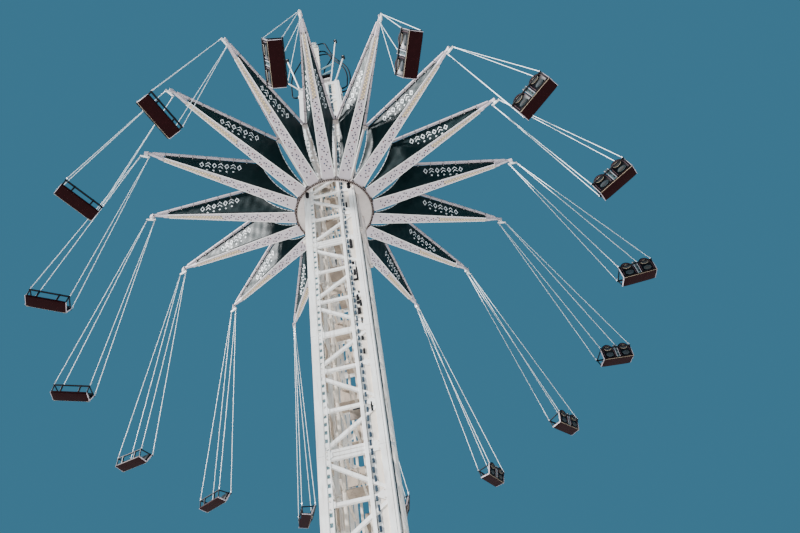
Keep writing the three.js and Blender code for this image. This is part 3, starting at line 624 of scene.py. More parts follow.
# Machinery on the mast's top
head = {
    "plate": 0.06, "plateBolts": ((0.72, 0.72), (0.72, 0.6), (0.6, 0.72)),
    "drive": ((0, 0.25), (0.9, 0.5, 0.3)), "vents": 9,
    "winch": ((0.29, -0.43), (0.38, 0.42)), "drumLevel": 0.75, "drumRadius": 0.17, "ropeTurns": 12,
    "post": (-0.03, -0.47), "postSide": 0.22, "postHeight": 4.4, "ribs": 9,
    "rungs": (1.4, 2.0), "rungRod": 2,
    "sheave": (-0.13, -0.6), "sheaveRadius": 0.17, "sheaveThickness": 0.12,
    "feet": ((-0.74, -0.74), (0.64, -0.74), (0.43, -0.64), (-0.74, -0.74)),
    "ends": ((-1.11, -1.11, 2.15), (1.11, -1.11, 1.25), (0.838, -0.64, 4.15), (-1.25, -1.25, 0.06)),
    "rod": 0.026, "lamp": (0.13, 0.15),
}
headLow = tower["mastTop"] + tower["gap"]
headTop = headLow + head["plate"]
postTop = tower["mastTop"] + head["postHeight"]


def addDrive(bm):
    (x, y), (width, depth, height) = head["drive"]
    body = height - head["plate"]
    addBox(bm, (x, y, headTop + body / 2), (width, depth, body), 3, 0.02, steps=2)
    for k in range(head["vents"]):
        vent = (x - 0.34 + 0.085 * k, y - depth / 2 - 0.004, headTop + 0.12)
        addBox(bm, vent, (0.045, 0.01, 0.15), 1, 0.002)
    addRod(bm, (x - 0.2, y, headTop + body), (x + 0.2, y, headTop + body), 0.09, 20, 3, bevel=0.008)


def addWinch(bm):
    # roped drum between two cheeks, over its motor
    (x, y), (width, depth) = head["winch"]
    half, level, radius = width / 2, headTop + head["drumLevel"], head["drumRadius"]
    for side in (-1, 1):
        addBox(bm, (x + side * (half - 0.015), y, headTop + 0.57), (0.03, depth, 1.14), 1, 0.005)
    addRod(bm, (x - half + 0.03, y, level), (x + half - 0.03, y, level), radius, 28, 1, bevel=0.004)
    for k in range(head["ropeTurns"]):
        ring = [(x - 0.14 + 0.0255 * k, y + py, level + pz) for py, pz in circle(20, radius + 0.006)]
        addTube(bm, ring, 0.012, 5, 3, True, acrossX)
    addBox(bm, (x, y, headTop + 0.26), (width - 0.06, depth - 0.04, 0.42), 1, 0.015)
    addBox(bm, (x, y, headTop + 1.09), (width - 0.06, depth - 0.06, 0.1), 1, 0.01)
    for k in range(5):
        fin = (x, y - depth / 2 + 0.006, headTop + 0.12 + 0.07 * k)
        addBox(bm, fin, (width - 0.1, 0.012, 0.03), 3, 0.002)


def addPost(bm):
    # ribbed post with corner rails, and rungs across to the long rod
    x, y = head["post"]
    side, middle, height = head["postSide"], (headTop + postTop) / 2, postTop - headTop
    addBox(bm, (x, y, middle), (side - 0.016, side - 0.016, height), 2, 0.01)
    for k in range(head["ribs"]):
        level = headTop + 0.1 + k * (height - 0.2) / (head["ribs"] - 1)
        addBox(bm, (x, y, level), (side, side, 0.05), 2, 0.005)
    for corner in (-0.1, 0.1):
        addBox(bm, (x + corner, y - 0.1, middle), (0.018, 0.018, height), 0, 0.003)
    (footX, footY), (endX, endY, rise) = head["feet"][head["rungRod"]], head["ends"][head["rungRod"]]
    for rung in head["rungs"]:
        share, level = rung / rise, tower["mastTop"] + rung
        far = (mix(footX, endX, share), mix(footY, endY, share), level)
        addBar(bm, (x, y, level), far, 0.05, 0.05, up, 4, 0.004)


def lathe(bm, centre, axis, profile, sides, paintIndex):
    turn = axis.to_track_quat("Z", "Y").to_matrix()
    rings = [[bm.verts.new(Vector(centre) + turn @ Vector((x, y, height))) for x, y in circle(sides, radius)]
             for radius, height in profile]
    joinRings(bm, rings, paintIndex)


def addSheave(bm):
    x, y = head["sheave"]
    r, half = head["sheaveRadius"], head["sheaveThickness"] / 2
    profile = [(0.03, -half), (r - 0.02, -half), (r, 0.015 - half), (r - 0.035, 0), (r, half - 0.015),
               (r - 0.02, half), (0.03, half)]
    lathe(bm, (x, y, postTop), acrossY, profile, 32, 0)
    addRod(bm, (x, y - half - 0.012, postTop), (x, y + half + 0.012, postTop), 0.045, 14, 1, bevel=0.004)
    for holeX, holeZ in circle(6, 0.1):
        holeX, holeZ = x + holeX, postTop + holeZ
        addRod(bm, (holeX, y - half - 0.003, holeZ), (holeX, y - half + 0.01, holeZ), 0.024, 10, 1)
    addBox(bm, (x + 0.06, y + half + 0.01, postTop), (0.14, 0.03, 0.1), 2, 0.004)


def addLampRods(bm):
    side, tall = head["lamp"]
    for (footX, footY), (endX, endY, rise) in zip(head["feet"], head["ends"]):
        foot, end = Vector((footX, footY, headTop - 0.02)), Vector((endX, endY, headLow + rise))
        addRod(bm, foot, end, head["rod"], 10, 0)
        addRod(bm, foot, foot + (end - foot).normalized() * 0.12, head["rod"] + 0.012, 10, 0)
        addBox(bm, end, (side, side, tall), 1, 0.018, steps=2)
        addRod(bm, end - acrossY * (side / 2 - 0.01), end - acrossY * (side / 2 + 0.004), 0.018, 12, 0)


def makeHead():
    bm = bmesh.new()
    addBox(bm, (0, 0, headLow + head["plate"] / 2), (1.56, 1.56, head["plate"]), 0, 0.006)
    for sx, sy in quarters:
        for x, y in head["plateBolts"]:
            addBolt(bm, (sx * x, sy * y, headTop), up, 0.018, 3)
    for addPart in (addDrive, addWinch, addPost, addSheave, addLampRods):
        addPart(bm)
    mesh = makeMesh(bm, "headGear", ["whitePaint", "darkSteel", "creamPaint", "ringPaint", "tealPanel"])
    putPiece("headGear", mesh, "tower", stands=["mast_head"])


makeHead()
print("head gear set")


# Carriage: motor shells, sensors, roller hubs, bolts on the ring plate and the legs
carriage = {"boltRing": 1.1455, "bolts": 48, "motor": (0.65, -0.9), "motorLow": 24.48, "motorRadius": 0.045,
            "fins": 16, "sensor": (0.69, -0.86, 24.635), "roller": (0.8353, 0.655), "legBolt": (0.855, 0.43),
            "legLevels": (22.44, 23.2, 23.97, 24.74, 25.5, 26.27)}


def addMotor(bm, end):
    x, y = end * carriage["motor"][0], carriage["motor"][1]
    low, bottom, r = carriage["motorLow"], tower["ringBottom"], carriage["motorRadius"]
    for start, stop, wider, bevel in ((low + 0.002, bottom + 0.008, 0.003, 0),
                                      (low - 0.002, low + 0.03, 0.008, 0.003),
                                      (bottom - 0.03, bottom + 0.009, 0.014, 0)):
        addRod(bm, (x, y, start), (x, y, stop), r + wider, 24, 0, bevel=bevel)
    for k, (fx, fy) in enumerate(circle(carriage["fins"], r + 0.004)):
        turn = Matrix.Rotation(math.tau * k / carriage["fins"], 3, "Z")
        addBox(bm, (x + fx, y + fy, bottom - 0.1), (0.012, 0.005, 0.1), 0, 0, turn)
    for lean in (-0.16, 0.16):
        addBar(bm, (x, y, bottom - 0.01), (x + lean, y - 0.14, bottom + 0.02), 0.05, 0.012, up, 1, 0.003)


def makeCarriageTrim():
    bm = bmesh.new()
    for k in range(carriage["bolts"]):
        angle = math.tau * (k + 0.5) / carriage["bolts"]
        x, y = carriage["boltRing"] * math.cos(angle), carriage["boltRing"] * math.sin(angle)
        addBolt(bm, (x, y, tower["ringBottom"]), -up, 0.011, 1)
    sensorX, sensorY, z = carriage["sensor"]
    for end in (-1, 1):
        addMotor(bm, end)
        x, y = end * sensorX, end * sensorY
        addBox(bm, (x, y, z), (0.12, 0.1, 0.1), 2, 0.012, steps=2)
        addRod(bm, (x, y, z - 0.05), (x, y, z - 0.065), 0.02, 12, 0)
    rollerX, rollerY = carriage["roller"]
    boltX, boltY = carriage["legBolt"]
    for sx, sy in quarters:
        x, y = sx * rollerX, sy * rollerY
        for level in (carriage["legLevels"][0], carriage["legLevels"][-1]):
            addRod(bm, (x, y - sy * 0.045, level), (x, y + sy * 0.055, level), 0.024, 12, 1)
            addBox(bm, (x, y + sy * 0.047, level), (0.1, 0.012, 0.14), 2, 0.004)
        for level in carriage["legLevels"]:
            for offset in (-0.03, 0.03):
                addBolt(bm, (sx * boltX, sy * boltY + offset, level), acrossX * sx, 0.012, 1)
    mesh = makeMesh(bm, "carriageTrim", ["darkSteel", "ringPaint", "creamPaint"])
    putPiece("carriageTrim", mesh, "carriage")


makeCarriageTrim()

# Segmented rim under the slewing ring, just inside the arms' roots
rim = {"inner": 1.177, "outer": 1.232, "boltRing": 1.205, "lugRing": 1.243, "segments": 64, "gap": 0.16,
       "depth": 0.022, "lugTurns": (-3.3, -1.1, 1.1, 3.3)}


def makeRim():
    bm = bmesh.new()
    bottom, step = tower["ringBottom"], math.tau / rim["segments"]
    inner, outer = rim["inner"], rim["outer"]
    for k in range(rim["segments"]):
        a, b = (k + rim["gap"] / 2) * step, (k + 1 - rim["gap"] / 2) * step
        middle = (a + b) / 2
        corners = ((inner, a), (outer, a), (outer, middle), (outer, b), (inner, b), (inner, middle))
        outline = [(r * math.cos(t), r * math.sin(t), bottom - rim["depth"] / 2) for r, t in corners]
        addPlate(bm, outline, rim["depth"], 0, 0.003)
        x, y = rim["boltRing"] * math.cos(middle), rim["boltRing"] * math.sin(middle)
        addBolt(bm, (x, y, bottom - rim["depth"]), -up, 0.009, 1)
    for k in range(arms["count"]):
        for shift in rim["lugTurns"]:
            turn = Matrix.Rotation(armAngle(k + 0.5) + rad(shift), 3, "Z")
            addBox(bm, turn @ Vector((rim["lugRing"], 0, bottom + 0.07)), (0.02, 0.02, 0.12), 0, 0.003, turn)
    putPiece("slewRim", makeMesh(bm, "slewRim", ["brownSteel", "ringPaint"]), "rotor")


makeRim()
print("carriage and ring trimmed")


# Arms, in a frame with x outward and z up from the pivots
arm = {
    "rootX": 1.236, "endX": 5.539, "rootWidth": 0.362, "tipWidth": 0.076, "depth": 0.08,
    "slopeRoot": -1.3688, "slopeX": 1.218, "slopeLength": 4.582,
    "star": (2.3954 * math.cos(rad(arms["step"] / 2)), 2.3954 * math.sin(rad(arms["step"] / 2)), 0.087),
    "tubeEnd": (5.74, 0.03, 0.1),
}


def armPlace(k):
    return Matrix.Translation((0, 0, tower["pivotHeight"])) @ Matrix.Rotation(armAngle(k), 4, "Z")


def beamLow(x):
    return arm["slopeRoot"] * (1 - (x - arm["slopeX"]) / arm["slopeLength"])


def beamHalf(x):
    return mix(arm["rootWidth"], arm["tipWidth"], (x - arm["rootX"]) / (arm["endX"] - arm["rootX"])) / 2


def underBeam(x, share, lift=0.0):
    return Vector((x, share * beamHalf(x), beamLow(x) + lift))


def mirrored(point, side):
    return Vector((point[0], side * point[1], point[2]))


# Lamps under the beam: small dark ones near the root, amber ones on a tan band near the tip
beamDown = Vector((-arm["slopeRoot"] / arm["slopeLength"], 0, -1)).normalized()
lamps = {"start": 1.5, "end": 3.6, "pitch": 0.105, "radius": 0.019, "oneRow": 0.085,
         "rows": ((-0.5, 0.42), (0.05, 0.72), (-0.28, 0.3), (-0.7, 0.1)), "tones": (0, 2, 1, 0, 3, 2, 0),
         "amberStart": 3.62, "amberPairs": 4.7, "amberEnd": 5.42, "amberPitch": 0.1, "band": 0.6,
         "edgeStart": 1.26, "edgeEnd": 5.36}


def makeLampRows():
    bm = bmesh.new()
    for side in (-1, 1):
        ends = [mirrored((x, beamHalf(x) + 0.002, beamLow(x) + 0.02), side)
                for x in (lamps["edgeStart"], lamps["edgeEnd"])]
        addBar(bm, *ends, 0.006, 0.05, (0, side, 0), 5)
    for count, x in enumerate(levels(lamps["start"], lamps["end"], lamps["pitch"])):
        shares = lamps["rows"][count % len(lamps["rows"])]
        if beamHalf(x) < lamps["oneRow"]:
            shares = shares[:1]
        for n, share in enumerate(shares):
            spot = x + (0.02 if (n + count) % 2 else -0.02)
            place = Vector((spot, share * beamHalf(x), beamLow(spot)))
            tone = lamps["tones"][(3 * n + count) % len(lamps["tones"])]
            addLens(bm, place, beamDown, lamps["radius"], tone, 2)
    near, far, share = lamps["amberStart"] - 0.03, lamps["amberEnd"], lamps["band"]
    corners = ((near, -share), (near, share), (far, share), (far, -share))
    addPlate(bm, [underBeam(*corner, -0.001) for corner in corners], 0.003, 7)
    for x in levels(lamps["amberStart"], lamps["amberEnd"] - 0.03, lamps["amberPitch"]):
        for share in ((-0.34, 0.34) if x < lamps["amberPairs"] else (0,)):
            spot = x + (0.5 * lamps["amberPitch"] if share > 0 else 0)
            addLens(bm, underBeam(spot, share, -0.002), beamDown, lamps["radius"], 4, 6)
    return makeMesh(bm, "lampRows", ["violet", "blue", "smoke", "rose", "amber", "whitePaint", "honey",
                                     "lampBand"])


lampRows = makeLampRows()
for k in range(arms["count"]):
    putPiece(numbered("lampRows", k), lampRows, "rotor", armPlace(k))
print("lamp rows set")

# Fabric of each arm, folded round the beam and tied up to both tubes
fabric = {
    "rootX": 1.296, "rise": 0.045, "sweep": (0.76, 0.06, 0.33), "corner": (0.08, -0.062, -0.046),
    "end": (5.365, 0.062, 0.045), "columns": 72, "rows": 12, "beamRows": 3, "crowding": 1.15,
    "trimSteps": 60, "tieStep": 0.41, "tieRadius": 0.047,
}
fabricEnd, fabricTip = Vector(fabric["end"]), fabric["end"][0]


def edgeCurve(share):
    x = fabric["rootX"]
    root = Vector((x, beamHalf(x) + 0.002, beamLow(x) + arm["depth"] + fabric["rise"]))
    sweep = root + Vector(fabric["sweep"])
    corner = Vector(arm["star"]) + Vector(fabric["corner"])
    return (1 - share) ** 2 * root + 2 * share * (1 - share) * sweep + share ** 2 * corner


fabricCorner = edgeCurve(1)
ties = round((fabricTip - fabricCorner.x) / fabric["tieStep"])


def topEdge(x):
    # straight with shallow scallops between the ties, then down the curve to the beam's root
    if x >= fabricCorner.x:
        share = (x - fabricCorner.x) / (fabricTip - fabricCorner.x)
        point = fabricCorner.lerp(fabricEnd, share)
        point.z -= 0.012 * math.sin(math.pi * share * ties) ** 2
        return point
    low, high = 0.0, 1.0
    for _ in range(24):
        middle = (low + high) / 2
        low, high = (middle, high) if edgeCurve(middle).x < x else (low, middle)
    return edgeCurve(low)


def clothPoint(x, t, side):
    # t runs from the beam at 0 to the top edge at 1
    bottom, top = Vector((x, beamHalf(x) + 0.003, beamLow(x) + arm["depth"] + 0.004)), topEdge(x)
    outward = Vector((0, top.z - bottom.z, bottom.y - top.y)).normalized()
    height = (top - bottom).length
    slack = math.sin(math.pi * t)
    fold = 0.018 * slack * math.sin(2.1 * x + 3.3 * t * height) * min(1, height)
    fold += 0.007 * slack * math.sin(9 * x - 11 * t * height + 1.3)
    fold += 0.004 * slack * math.sin(23 * x + 6 * t)
    return mirrored(bottom.lerp(top, t) + outward * (fold - 0.02 * slack * min(1, height)), side)


def fabricX(share):
    return mix(fabric["rootX"], fabricTip, share ** fabric["crowding"])


def makeFabric():
    bm = bmesh.new()
    rows, beamRows = fabric["rows"], fabric["beamRows"]
    columns = []
    for i in range(fabric["columns"] + 1):
        x = fabricX(i / fabric["columns"])
        half = beamHalf(x) + 0.003
        line = [clothPoint(x, 1 - j / rows, 1) for j in range(rows + 1)]
        for j in range(1, beamRows):
            line.append(Vector((x, mix(half, -half, j / beamRows), beamLow(x) + arm["depth"] + 0.004)))
        line += [clothPoint(x, j / rows, -1) for j in range(rows + 1)]
        columns.append([bm.verts.new(point) for point in line])
    for left, right in zip(columns, columns[1:]):
        for j in range(len(left) - 1):
            bm.faces.new((left[j], left[j + 1], right[j + 1], right[j]))
    return makeMesh(bm, "armFabric", ["fabric"], sharp=80)


def addTies(bm, side):
    # loops round the top tube, each with a cord and an eyelet at the fabric's edge
    start, end = mirrored(arm["star"], side), mirrored(arm["tubeEnd"], side)
    along = (end - start).normalized()
    across = along.cross(up).normalized()
    above = across.cross(along)
    for n in range(ties + 1):
        x = mix(fabricCorner.x + 0.03, fabricTip - 0.02, n / ties)
        edge = clothPoint(x, 1, side)
        centre = start + along * ((x - start.x) / along.x)
        loop = [centre + (across * px + above * py) * fabric["tieRadius"] for px, py in circle(10)]
        addTube(bm, loop, 0.006, 4, 0, True, along)
        addRod(bm, centre + (edge - centre).normalized() * 0.04, edge, 0.007, 6, 0)
        inside, outside = (edge + Vector((0, side * shift, -0.03)) for shift in (0.001, 0.014))
        addRod(bm, inside, outside, 0.014, 10, 1)


def makeFabricTrim():
    bm = bmesh.new()
    for side in (-1, 1):
        xs = [fabricX(i / fabric["trimSteps"]) for i in range(fabric["trimSteps"] + 1)]
        addTube(bm, [clothPoint(x, 1, side) for x in xs if x > fabricCorner.x - 0.05], 0.009, 5, 0)
        inner = [clothPoint(x, 1, side) for x in xs if x < fabricCorner.x + 0.03]
        addTube(bm, inner, 0.011, 6, 2)
        for point, following in zip(inner[::2], inner[1::2]):
            along = (following - point).normalized() * 0.012
            addRod(bm, point - along, point + along, 0.015, 8, 0)
        addTube(bm, [clothPoint(x, 0.0, side) + acrossY * side * 0.002 for x in xs[::3]], 0.006, 4, 0)
        addTies(bm, side)
    return makeMesh(bm, "fabricTrim", ["hem", "ringPaint", "lacing"])


# Plain printed pattern in white: open diamonds and chevrons in turn, over a row of small diamonds
printing = {"start": 2.98, "end": 4.32, "count": 7, "half": (0.075, 0.125), "below": 0.24,
            "smallStart": 3.25, "smallEnd": 4.05, "smallCount": 5, "smallHalf": (0.0375, 0.0375),
            "smallBelow": 0.46, "lift": 0.0025, "steps": 3}


def panelHeight(x):
    return (topEdge(x) - underBeam(x, 1, arm["depth"])).length


def printPoint(x, t, side):
    point = clothPoint(x, t, side)
    ahead, aside = clothPoint(x + 0.01, t, side) - point, clothPoint(x, t + 0.01, side) - point
    normal = ahead.cross(aside).normalized()
    return point + normal * math.copysign(printing["lift"], normal.y * side)


def addPrint(bm, side, a, b, c, d):
    # a four-cornered patch that follows the folds
    steps = printing["steps"]
    grid = []
    shares = [i / steps for i in range(steps + 1)]
    for u in shares:
        lowX, lowT = mix(a[0], b[0], u), mix(a[1], b[1], u)
        highX, highT = mix(d[0], c[0], u), mix(d[1], c[1], u)
        points = [printPoint(mix(lowX, highX, v), mix(lowT, highT, v), side) for v in shares]
        grid.append([bm.verts.new(point) for point in points])
    for i in range(steps):
        for j in range(steps):
            bm.faces.new((grid[i][j], grid[i + 1][j], grid[i + 1][j + 1], grid[i][j + 1]))


def addOpenDiamond(bm, side, x, middle, w, half):
    tips = [(x - w, middle), (x, middle + half), (x + w, middle), (x, middle - half)]
    inner = [(mix(x, tip[0], 0.6), mix(middle, tip[1], 0.6)) for tip in tips]
    for n in range(4):
        m = (n + 1) % 4
        addPrint(bm, side, tips[n], tips[m], inner[m], inner[n])


def addChevrons(bm, side, x, middle, w, half):
    for shift in (-0.5, 0.5):
        low, high = middle + half * (shift - 0.38), middle + half * (shift + 0.38)
        inside, outside = (x, high - half * 0.1), (x, high + half * 0.2)
        addPrint(bm, side, (x - w, low), inside, outside, (x - w, low + half * 0.3))
        addPrint(bm, side, inside, (x + w, low), (x + w, low + half * 0.3), outside)


def makePrinting():
    bm = bmesh.new()
    w, half = printing["half"]
    small, smallHalf = printing["smallHalf"]
    for side in (-1, 1):
        for n in range(printing["count"]):
            x = mix(printing["start"], printing["end"], (n + 0.5) / printing["count"])
            addFigure = addChevrons if n % 2 else addOpenDiamond
            addFigure(bm, side, x, 1 - printing["below"] / panelHeight(x), w, half / panelHeight(x))
        for n in range(printing["smallCount"]):
            x = mix(printing["smallStart"], printing["smallEnd"], n / (printing["smallCount"] - 1))
            middle, tall = 1 - printing["smallBelow"] / panelHeight(x), smallHalf / panelHeight(x)
            upper, lower = (x, middle + tall), (x, middle - tall)
            addPrint(bm, side, (x - small, middle), upper, (x + small, middle), lower)
    return makeMesh(bm, "fabricPrint", ["print"], sharp=80)


fabricMesh, fabricTrim, fabricPrint = makeFabric(), makeFabricTrim(), makePrinting()
clothLength = (underBeam(fabricTip, 0) - underBeam(fabric["rootX"], 0)).length
clothWidth = 2 * panelHeight(fabricCorner.x) + 2 * beamHalf(fabricCorner.x)
for k in range(arms["count"]):
    sheet = putPiece(numbered("fabric", k), fabricMesh, "rotor", armPlace(k),
                     [numbered("banner", k)])
    edging = putPiece(numbered("fabricTrim", k), fabricTrim, "rotor", armPlace(k))
    motif = putPiece(numbered("fabricPrint", k), fabricPrint, "rotor", armPlace(k))
print("fabric tied up")


# Chairs: how chair k hangs, with x outward and y in the direction of travel, then sizes in its own frame
chair = {
    "hang": 7.2, "outward": 1.635, "outwardSway": 0.08, "trailing": -0.49, "twiceSway": 0.09,
    "thriceSway": 0.12, "breeze": (0.165, 0.035), "twists": (4, -7),
    "half": 0.5, "cornerX": 0.488, "sideX": 0.475, "frontY": 0.178, "rearY": -0.242, "rearRise": 0.01,
    "panDrop": 0.248, "panSize": (0.97, 0.304, 0.07), "panY": 0.042, "panTilt": 5,
    "panProfile": ((0.48, 0.5), (0.5, 0.3), (0.5, -0.2), (0.47, -0.42), (0.4, -0.5), (-0.4, -0.5),
                   (-0.48, -0.46), (-0.5, -0.3), (-0.5, 0.4), (-0.47, 0.5)),
    "postFront": 0.165, "postRear": -0.075, "linkX": 0.245, "linkY": 0.172, "linkRise": 0.02,
    "backX": 0.27, "backHalf": 0.205, "backStraight": 0.195, "backThickness": 0.05, "backLean": 25,
    "backY": -0.07, "backDrop": 0.234, "ovalLevels": (0.27, 0.095), "ovalSize": (0.108, 0.053),
    "ovalSides": 24, "ovalDome": ((1.0, 0.0), (0.9, 0.006), (0.62, 0.011), (0.3, 0.013)),
    "plateSize": (0.116, 0.02, 0.37), "plateBack": 0.035, "stripX": 0.4925,
    "spreader": 0.15, "spreaderDrop": 0.12, "chainPitch": 0.052, "wire": 0.0052, "linkHalf": 0.0145,
    "bareTop": 0.3, "bareFoot": 0.12, "sleeve": 0.0078, "sleeveSteps": 24,
}


def hang(k):
    # heading, swing and hinge axis of chair k at rest
    angle = armAngle(k)
    outward = Vector((math.cos(angle), math.sin(angle), 0))
    around = Vector((-math.sin(angle), math.cos(angle), 0))
    out = chair["outward"] - chair["outwardSway"] * math.sin(2 * angle)
    along = chair["trailing"] + chair["twiceSway"] * math.sin(2 * angle)
    along += chair["thriceSway"] * math.cos(3 * angle)
    shift = outward * out + around * along + Vector((*chair["breeze"], 0))
    heading = angle + rad(chair["twists"][k % 2])
    return heading, math.asin(shift.length / chair["hang"]), up.cross(shift).normalized()


def chairPlace(k):
    heading, swing, axis = hang(k)
    pivot = Matrix.Rotation(armAngle(k), 3, "Z") @ Vector((tower["pivotRadius"], 0, 0))
    pivot.z = tower["pivotHeight"]
    lean = Quaternion(axis, -swing).to_matrix().to_4x4()
    return Matrix.Translation(pivot) @ lean @ Matrix.Rotation(heading, 4, "Z")


frontZ = -chair["hang"]
rearZ = chair["rearRise"] - chair["hang"]
panZ = -chair["hang"] - chair["panDrop"]
rails = ((chair["frontY"], frontZ), (chair["rearY"], rearZ))
panPlace = Matrix.Translation((0, chair["panY"], panZ)) @ Matrix.Rotation(rad(chair["panTilt"]), 4, "X")
backTurn = Matrix.Rotation(rad(chair["backLean"]), 4, "X")


def backPlace(x):
    return Matrix.Translation((x, chair["backY"], -chair["hang"] - chair["backDrop"])) @ backTurn


def addLink(bm, matrix, pitch):
    # one closed chain link of three-sided wire, with cut corners
    half, wire = chair["linkHalf"], chair["wire"]
    reach = pitch / 2 + wire
    quarter = [(half, reach - half), (0.55 * half, reach - 0.25 * half)]
    line = [(half, half - reach), *quarter, *((-x, z) for x, z in quarter[::-1]), (-half, half - reach),
            (-0.55 * half, 0.25 * half - reach), (0.55 * half, 0.25 * half - reach)]
    addTube(bm, [matrix @ Vector((x, 0, z)) for x, z in line], wire, 3, 0, True, matrix.to_3x3() @ acrossY)


def addChain(bm, hook, corner):
    # a white sleeve over the chain, with bare links at both ends
    along = corner - hook
    length, direction = along.length, along.normalized()
    turn = barFrame(hook, corner, acrossY).to_4x4()
    count = round(length / chair["chainPitch"])
    for n in range(count):
        if chair["bareTop"] < (n + 0.5) * length / count < length - chair["bareFoot"]:
            continue
        twist = Matrix.Rotation(math.pi * (0.75 if n % 2 else 0.25), 4, "Z")
        addLink(bm, Matrix.Translation(hook + along * ((n + 0.5) / count)) @ turn @ twist, length / count)
    first, last = chair["bareTop"] - 0.02, length - chair["bareFoot"] + 0.02
    steps, radius = chair["sleeveSteps"], chair["sleeve"]
    line = [hook + direction * mix(first, last, n / steps) for n in range(steps + 1)]
    addTube(bm, line, radius, 8, 1, side=acrossY)
    for reach in (first, last):
        start, end = hook + direction * (reach - 0.012), hook + direction * (reach + 0.012)
        addRod(bm, start, end, radius + 0.0025, 10, 2)


def makeChains():
    bm = bmesh.new()
    for side in (-1, 1):
        hook = Vector((side * (chair["spreader"] - 0.02), 0, -chair["spreaderDrop"] - 0.035))
        for y, z in rails:
            addChain(bm, hook, Vector((side * chair["cornerX"], y, z + 0.03)))
    return makeMesh(bm, "chairChains", ["chainSteel", "sleeve", "paleTrim"], sharp=60)


def addPan(bm):
    width, depth, thick = chair["panSize"]
    rings = []
    for i in range(25):
        u = i / 12 - 1
        narrow = 1 - 0.06 * abs(u) ** 12
        dip = 1 - 0.35 * abs(u) ** 10
        ring = []
        for y, z in chair["panProfile"]:
            height = z * thick * (dip if z < 0 else 1)
            if abs(y) < 0.45 and z < 0:
                height += 0.004 * math.cos(math.pi * u) ** 2
            ring.append(bm.verts.new(panPlace @ Vector((u * width / 2, y * depth * narrow, height))))
        rings.append(ring)
    joinRings(bm, rings)


def addOval(bm, place, level, rimIndex):
    # a low dome with a thin rim, on the rear of a back
    halfX, halfZ = chair["ovalSize"]
    base = -chair["backThickness"]
    spots = circle(chair["ovalSides"])
    rings = [[bm.verts.new(place @ Vector((share * halfX * x, base - rise, level + share * halfZ * z)))
              for x, z in spots] for share, rise in chair["ovalDome"]]
    joinRings(bm, rings, 2)
    edge = [place @ Vector((halfX * x, base - 0.003, level + halfZ * z)) for x, z in spots]
    addTube(bm, edge, 0.0045, 6, rimIndex, True, place.to_3x3() @ acrossY)


def backOutline(inset):
    half, straight = chair["backHalf"] - inset, chair["backStraight"]
    angles = [math.pi * j / 14 for j in range(15)]
    arch = [(-half * math.cos(angle), straight + half * math.sin(angle)) for angle in angles]
    return [(-half, inset), *arch, (half, inset)]


def addBack(bm, x):
    # arched shell with a welt and two ovals behind and raised pads in front
    place, thick = backPlace(x), chair["backThickness"]
    rings = []
    for inset, depth in ((0.012, 0.0), (0.0, -0.012), (0.0, 0.012 - thick), (0.012, -thick), (0.03, -thick),
                         (0.042, 0.008 - thick)):
        rings.append([bm.verts.new(place @ Vector((px, depth, pz))) for px, pz in backOutline(inset)])
    joinRings(bm, rings, 1)
    welt = [place @ Vector((px, 0.002 - thick, pz)) for px, pz in backOutline(0.036)]
    addTube(bm, welt, 0.005, 6, 4, side=place.to_3x3() @ acrossY)
    for level, rimIndex in zip(chair["ovalLevels"], (3, 5)):
        addOval(bm, place, level, rimIndex)
    for shift in (-0.092, 0.092):
        pad = place @ Vector((shift, 0.006, 0.19))
        addBox(bm, pad, (0.165, 0.028, 0.29), 1, 0.012, backTurn.to_3x3(), steps=2)


def addSideStrip(bm, side):
    # pale strip from the shoulder of the back to the pan and along the pan's side
    x = side * chair["stripX"]
    rise = backPlace(x)
    shoulder, foot = rise @ Vector((0, -0.03, 0.3)), rise @ Vector((0, -0.035, -0.03))
    tail, nose = panPlace @ Vector((x, -0.14, 0.0)), panPlace @ Vector((x, 0.148, 0.0))
    addBar(bm, shoulder, foot, 0.036, 0.01, acrossX, 6, 0.003)
    addBar(bm, tail, nose, 0.04, 0.01, acrossX, 6, 0.003)
    addBar(bm, foot, tail.lerp(nose, 0.12), 0.036, 0.0096, acrossX, 6, 0.003)
    for place in (shoulder.lerp(foot, 0.12), foot, tail.lerp(nose, 0.3), tail.lerp(nose, 0.9)):
        addRod(bm, (x, place.y, place.z), (x + side * 0.0065, place.y, place.z), 0.011, 10, 1)


def addMiddlePlate(bm):
    # plate between the backs, with pale edges and three dark marks
    width, thick, height = chair["plateSize"]
    rise, turn = backPlace(0), backTurn.to_3x3()
    addBox(bm, rise @ Vector((0, -chair["plateBack"], height / 2)), (width, thick, height), 5, 0.004, turn)
    front = -chair["plateBack"] - 0.012
    for side in (-1, 1):
        edge = rise @ Vector((side * (width / 2 - 0.009), front, height / 2))
        addBox(bm, edge, (0.012, 0.008, height - 0.02), 6, 0.002, turn)
    for n in range(3):
        addBox(bm, rise @ Vector((0.012, front, 0.08 + 0.11 * n)), (0.028, 0.008, 0.06), 7, 0.002, turn)


def makeShell():
    bm = bmesh.new()
    addPan(bm)
    for side in (-1, 1):
        addBack(bm, side * chair["backX"])
        addSideStrip(bm, side)
        cushion = panPlace @ Vector((side * 0.24, -0.01, 0.045))
        addBox(bm, cushion, (0.42, 0.24, 0.03), 1, 0.013, panPlace.to_3x3(), steps=2)
    # beige line along the rear edge of the pan
    line = [panPlace @ Vector((x, -0.149, -0.024)) for x in (-0.478, -0.25, 0, 0.25, 0.478)]
    addTube(bm, line, 0.005, 8, 3)
    addMiddlePlate(bm)
    return makeMesh(bm, "chairShell", ["shell", "backShell", "ovalGrey", "beigeTrim", "rosyGrey", "seatTeal",
                                       "paleTrim", "darkSteel"])


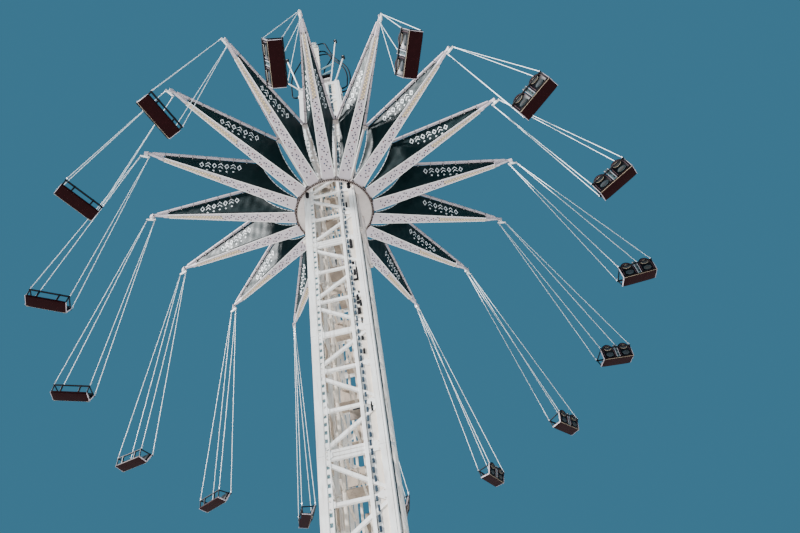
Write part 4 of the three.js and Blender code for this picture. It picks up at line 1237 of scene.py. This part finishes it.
def makeChairFrame():
    bm = bmesh.new()
    half, frontY = chair["half"], chair["frontY"]
    for side in (-1, 1):
        x, lug = side * chair["sideX"], side * chair["cornerX"]
        for (y, z), footY in zip(rails, (chair["postFront"], chair["postRear"])):
            addBar(bm, (x, y, z), (x, footY, panZ), 0.034, 0.028, acrossX, 0, 0.008)
            addRod(bm, (lug - side * 0.02, y, z), (side * half, y, z), 0.018, 12, 0)
            ring = [(lug, y + 0.014 * px, z + 0.026 + 0.017 * py) for px, py in circle(12)]
            addTube(bm, ring, 0.005, 5, 1, True, acrossX)
        addBar(bm, (x, frontY, frontZ), (x, chair["rearY"], rearZ), 0.036, 0.03, acrossX, 0, 0.011)
        x, footZ = side * chair["linkX"], panZ + chair["linkRise"]
        addBar(bm, (x, frontY, frontZ), (x, chair["linkY"], footZ), 0.043, 0.036, acrossX, 0, 0.008)
        addRod(bm, (x - 0.022, frontY, frontZ), (x + 0.022, frontY, frontZ), 0.026, 12, 0)
        addBox(bm, (x, chair["linkY"], footZ), (0.056, 0.036, 0.056), 0, 0.006)
    for y, z in rails:
        addRod(bm, (0.004 - half, y, z), (half - 0.004, y, z), 0.0215, 12, 0)
    return makeMesh(bm, "chairFrame", ["darkSteel", "chainSteel"])


def makeHanger(k):
    heading, _, axis = hang(k)
    local = axis.copy()
    local.rotate(Quaternion(up, -heading))
    bm = bmesh.new()
    width, drop = chair["spreader"], chair["spreaderDrop"]
    addBar(bm, (0, 0, 0.05), (0, 0, -drop), 0.09, 0.06, local, 0, 0.012)
    addBar(bm, (-width, 0, -drop), (width, 0, -drop), 0.05, 0.05, up, 0, 0.01)
    for side in (-1, 1):
        reach = local * side
        addRod(bm, reach * 0.0295, reach * 0.0315, 0.034, 14, 1)
        ring = [(side * (width - 0.02) + 0.018 * x, 0, 0.022 * z - drop - 0.028) for x, z in circle(12)]
        addTube(bm, ring, 0.007, 5, 1, True, acrossY)
        addBolt(bm, (side * 0.09, -0.025, -drop), -acrossY, 0.011, 1)
    return makeMesh(bm, numbered("hanger", k), ["whitePaint", "darkSteel"])


def atPlace(mesh, place, name):
    placed = mesh.copy()
    placed.name = name
    placed.transform(place)
    return placed


chains, shell, chairFrame = makeChains(), makeShell(), makeChairFrame()
for k in range(arms["count"]):
    body = numbered("chair", k)
    place = chairPlace(k)
    for stem, mesh, slot, stands in (("chairShell", shell, "chair_shell", [body]),
                                     ("chairFrame", chairFrame, "chair_shell", []),
                                     ("hanger", makeHanger(k), "white_steel", [])):
        name = numbered(stem, k)
        putPiece(name, atPlace(mesh, place, name), body, None, stands)
    putPiece(numbered("chairChains", k), chains, body, place)
print("chairs hung")
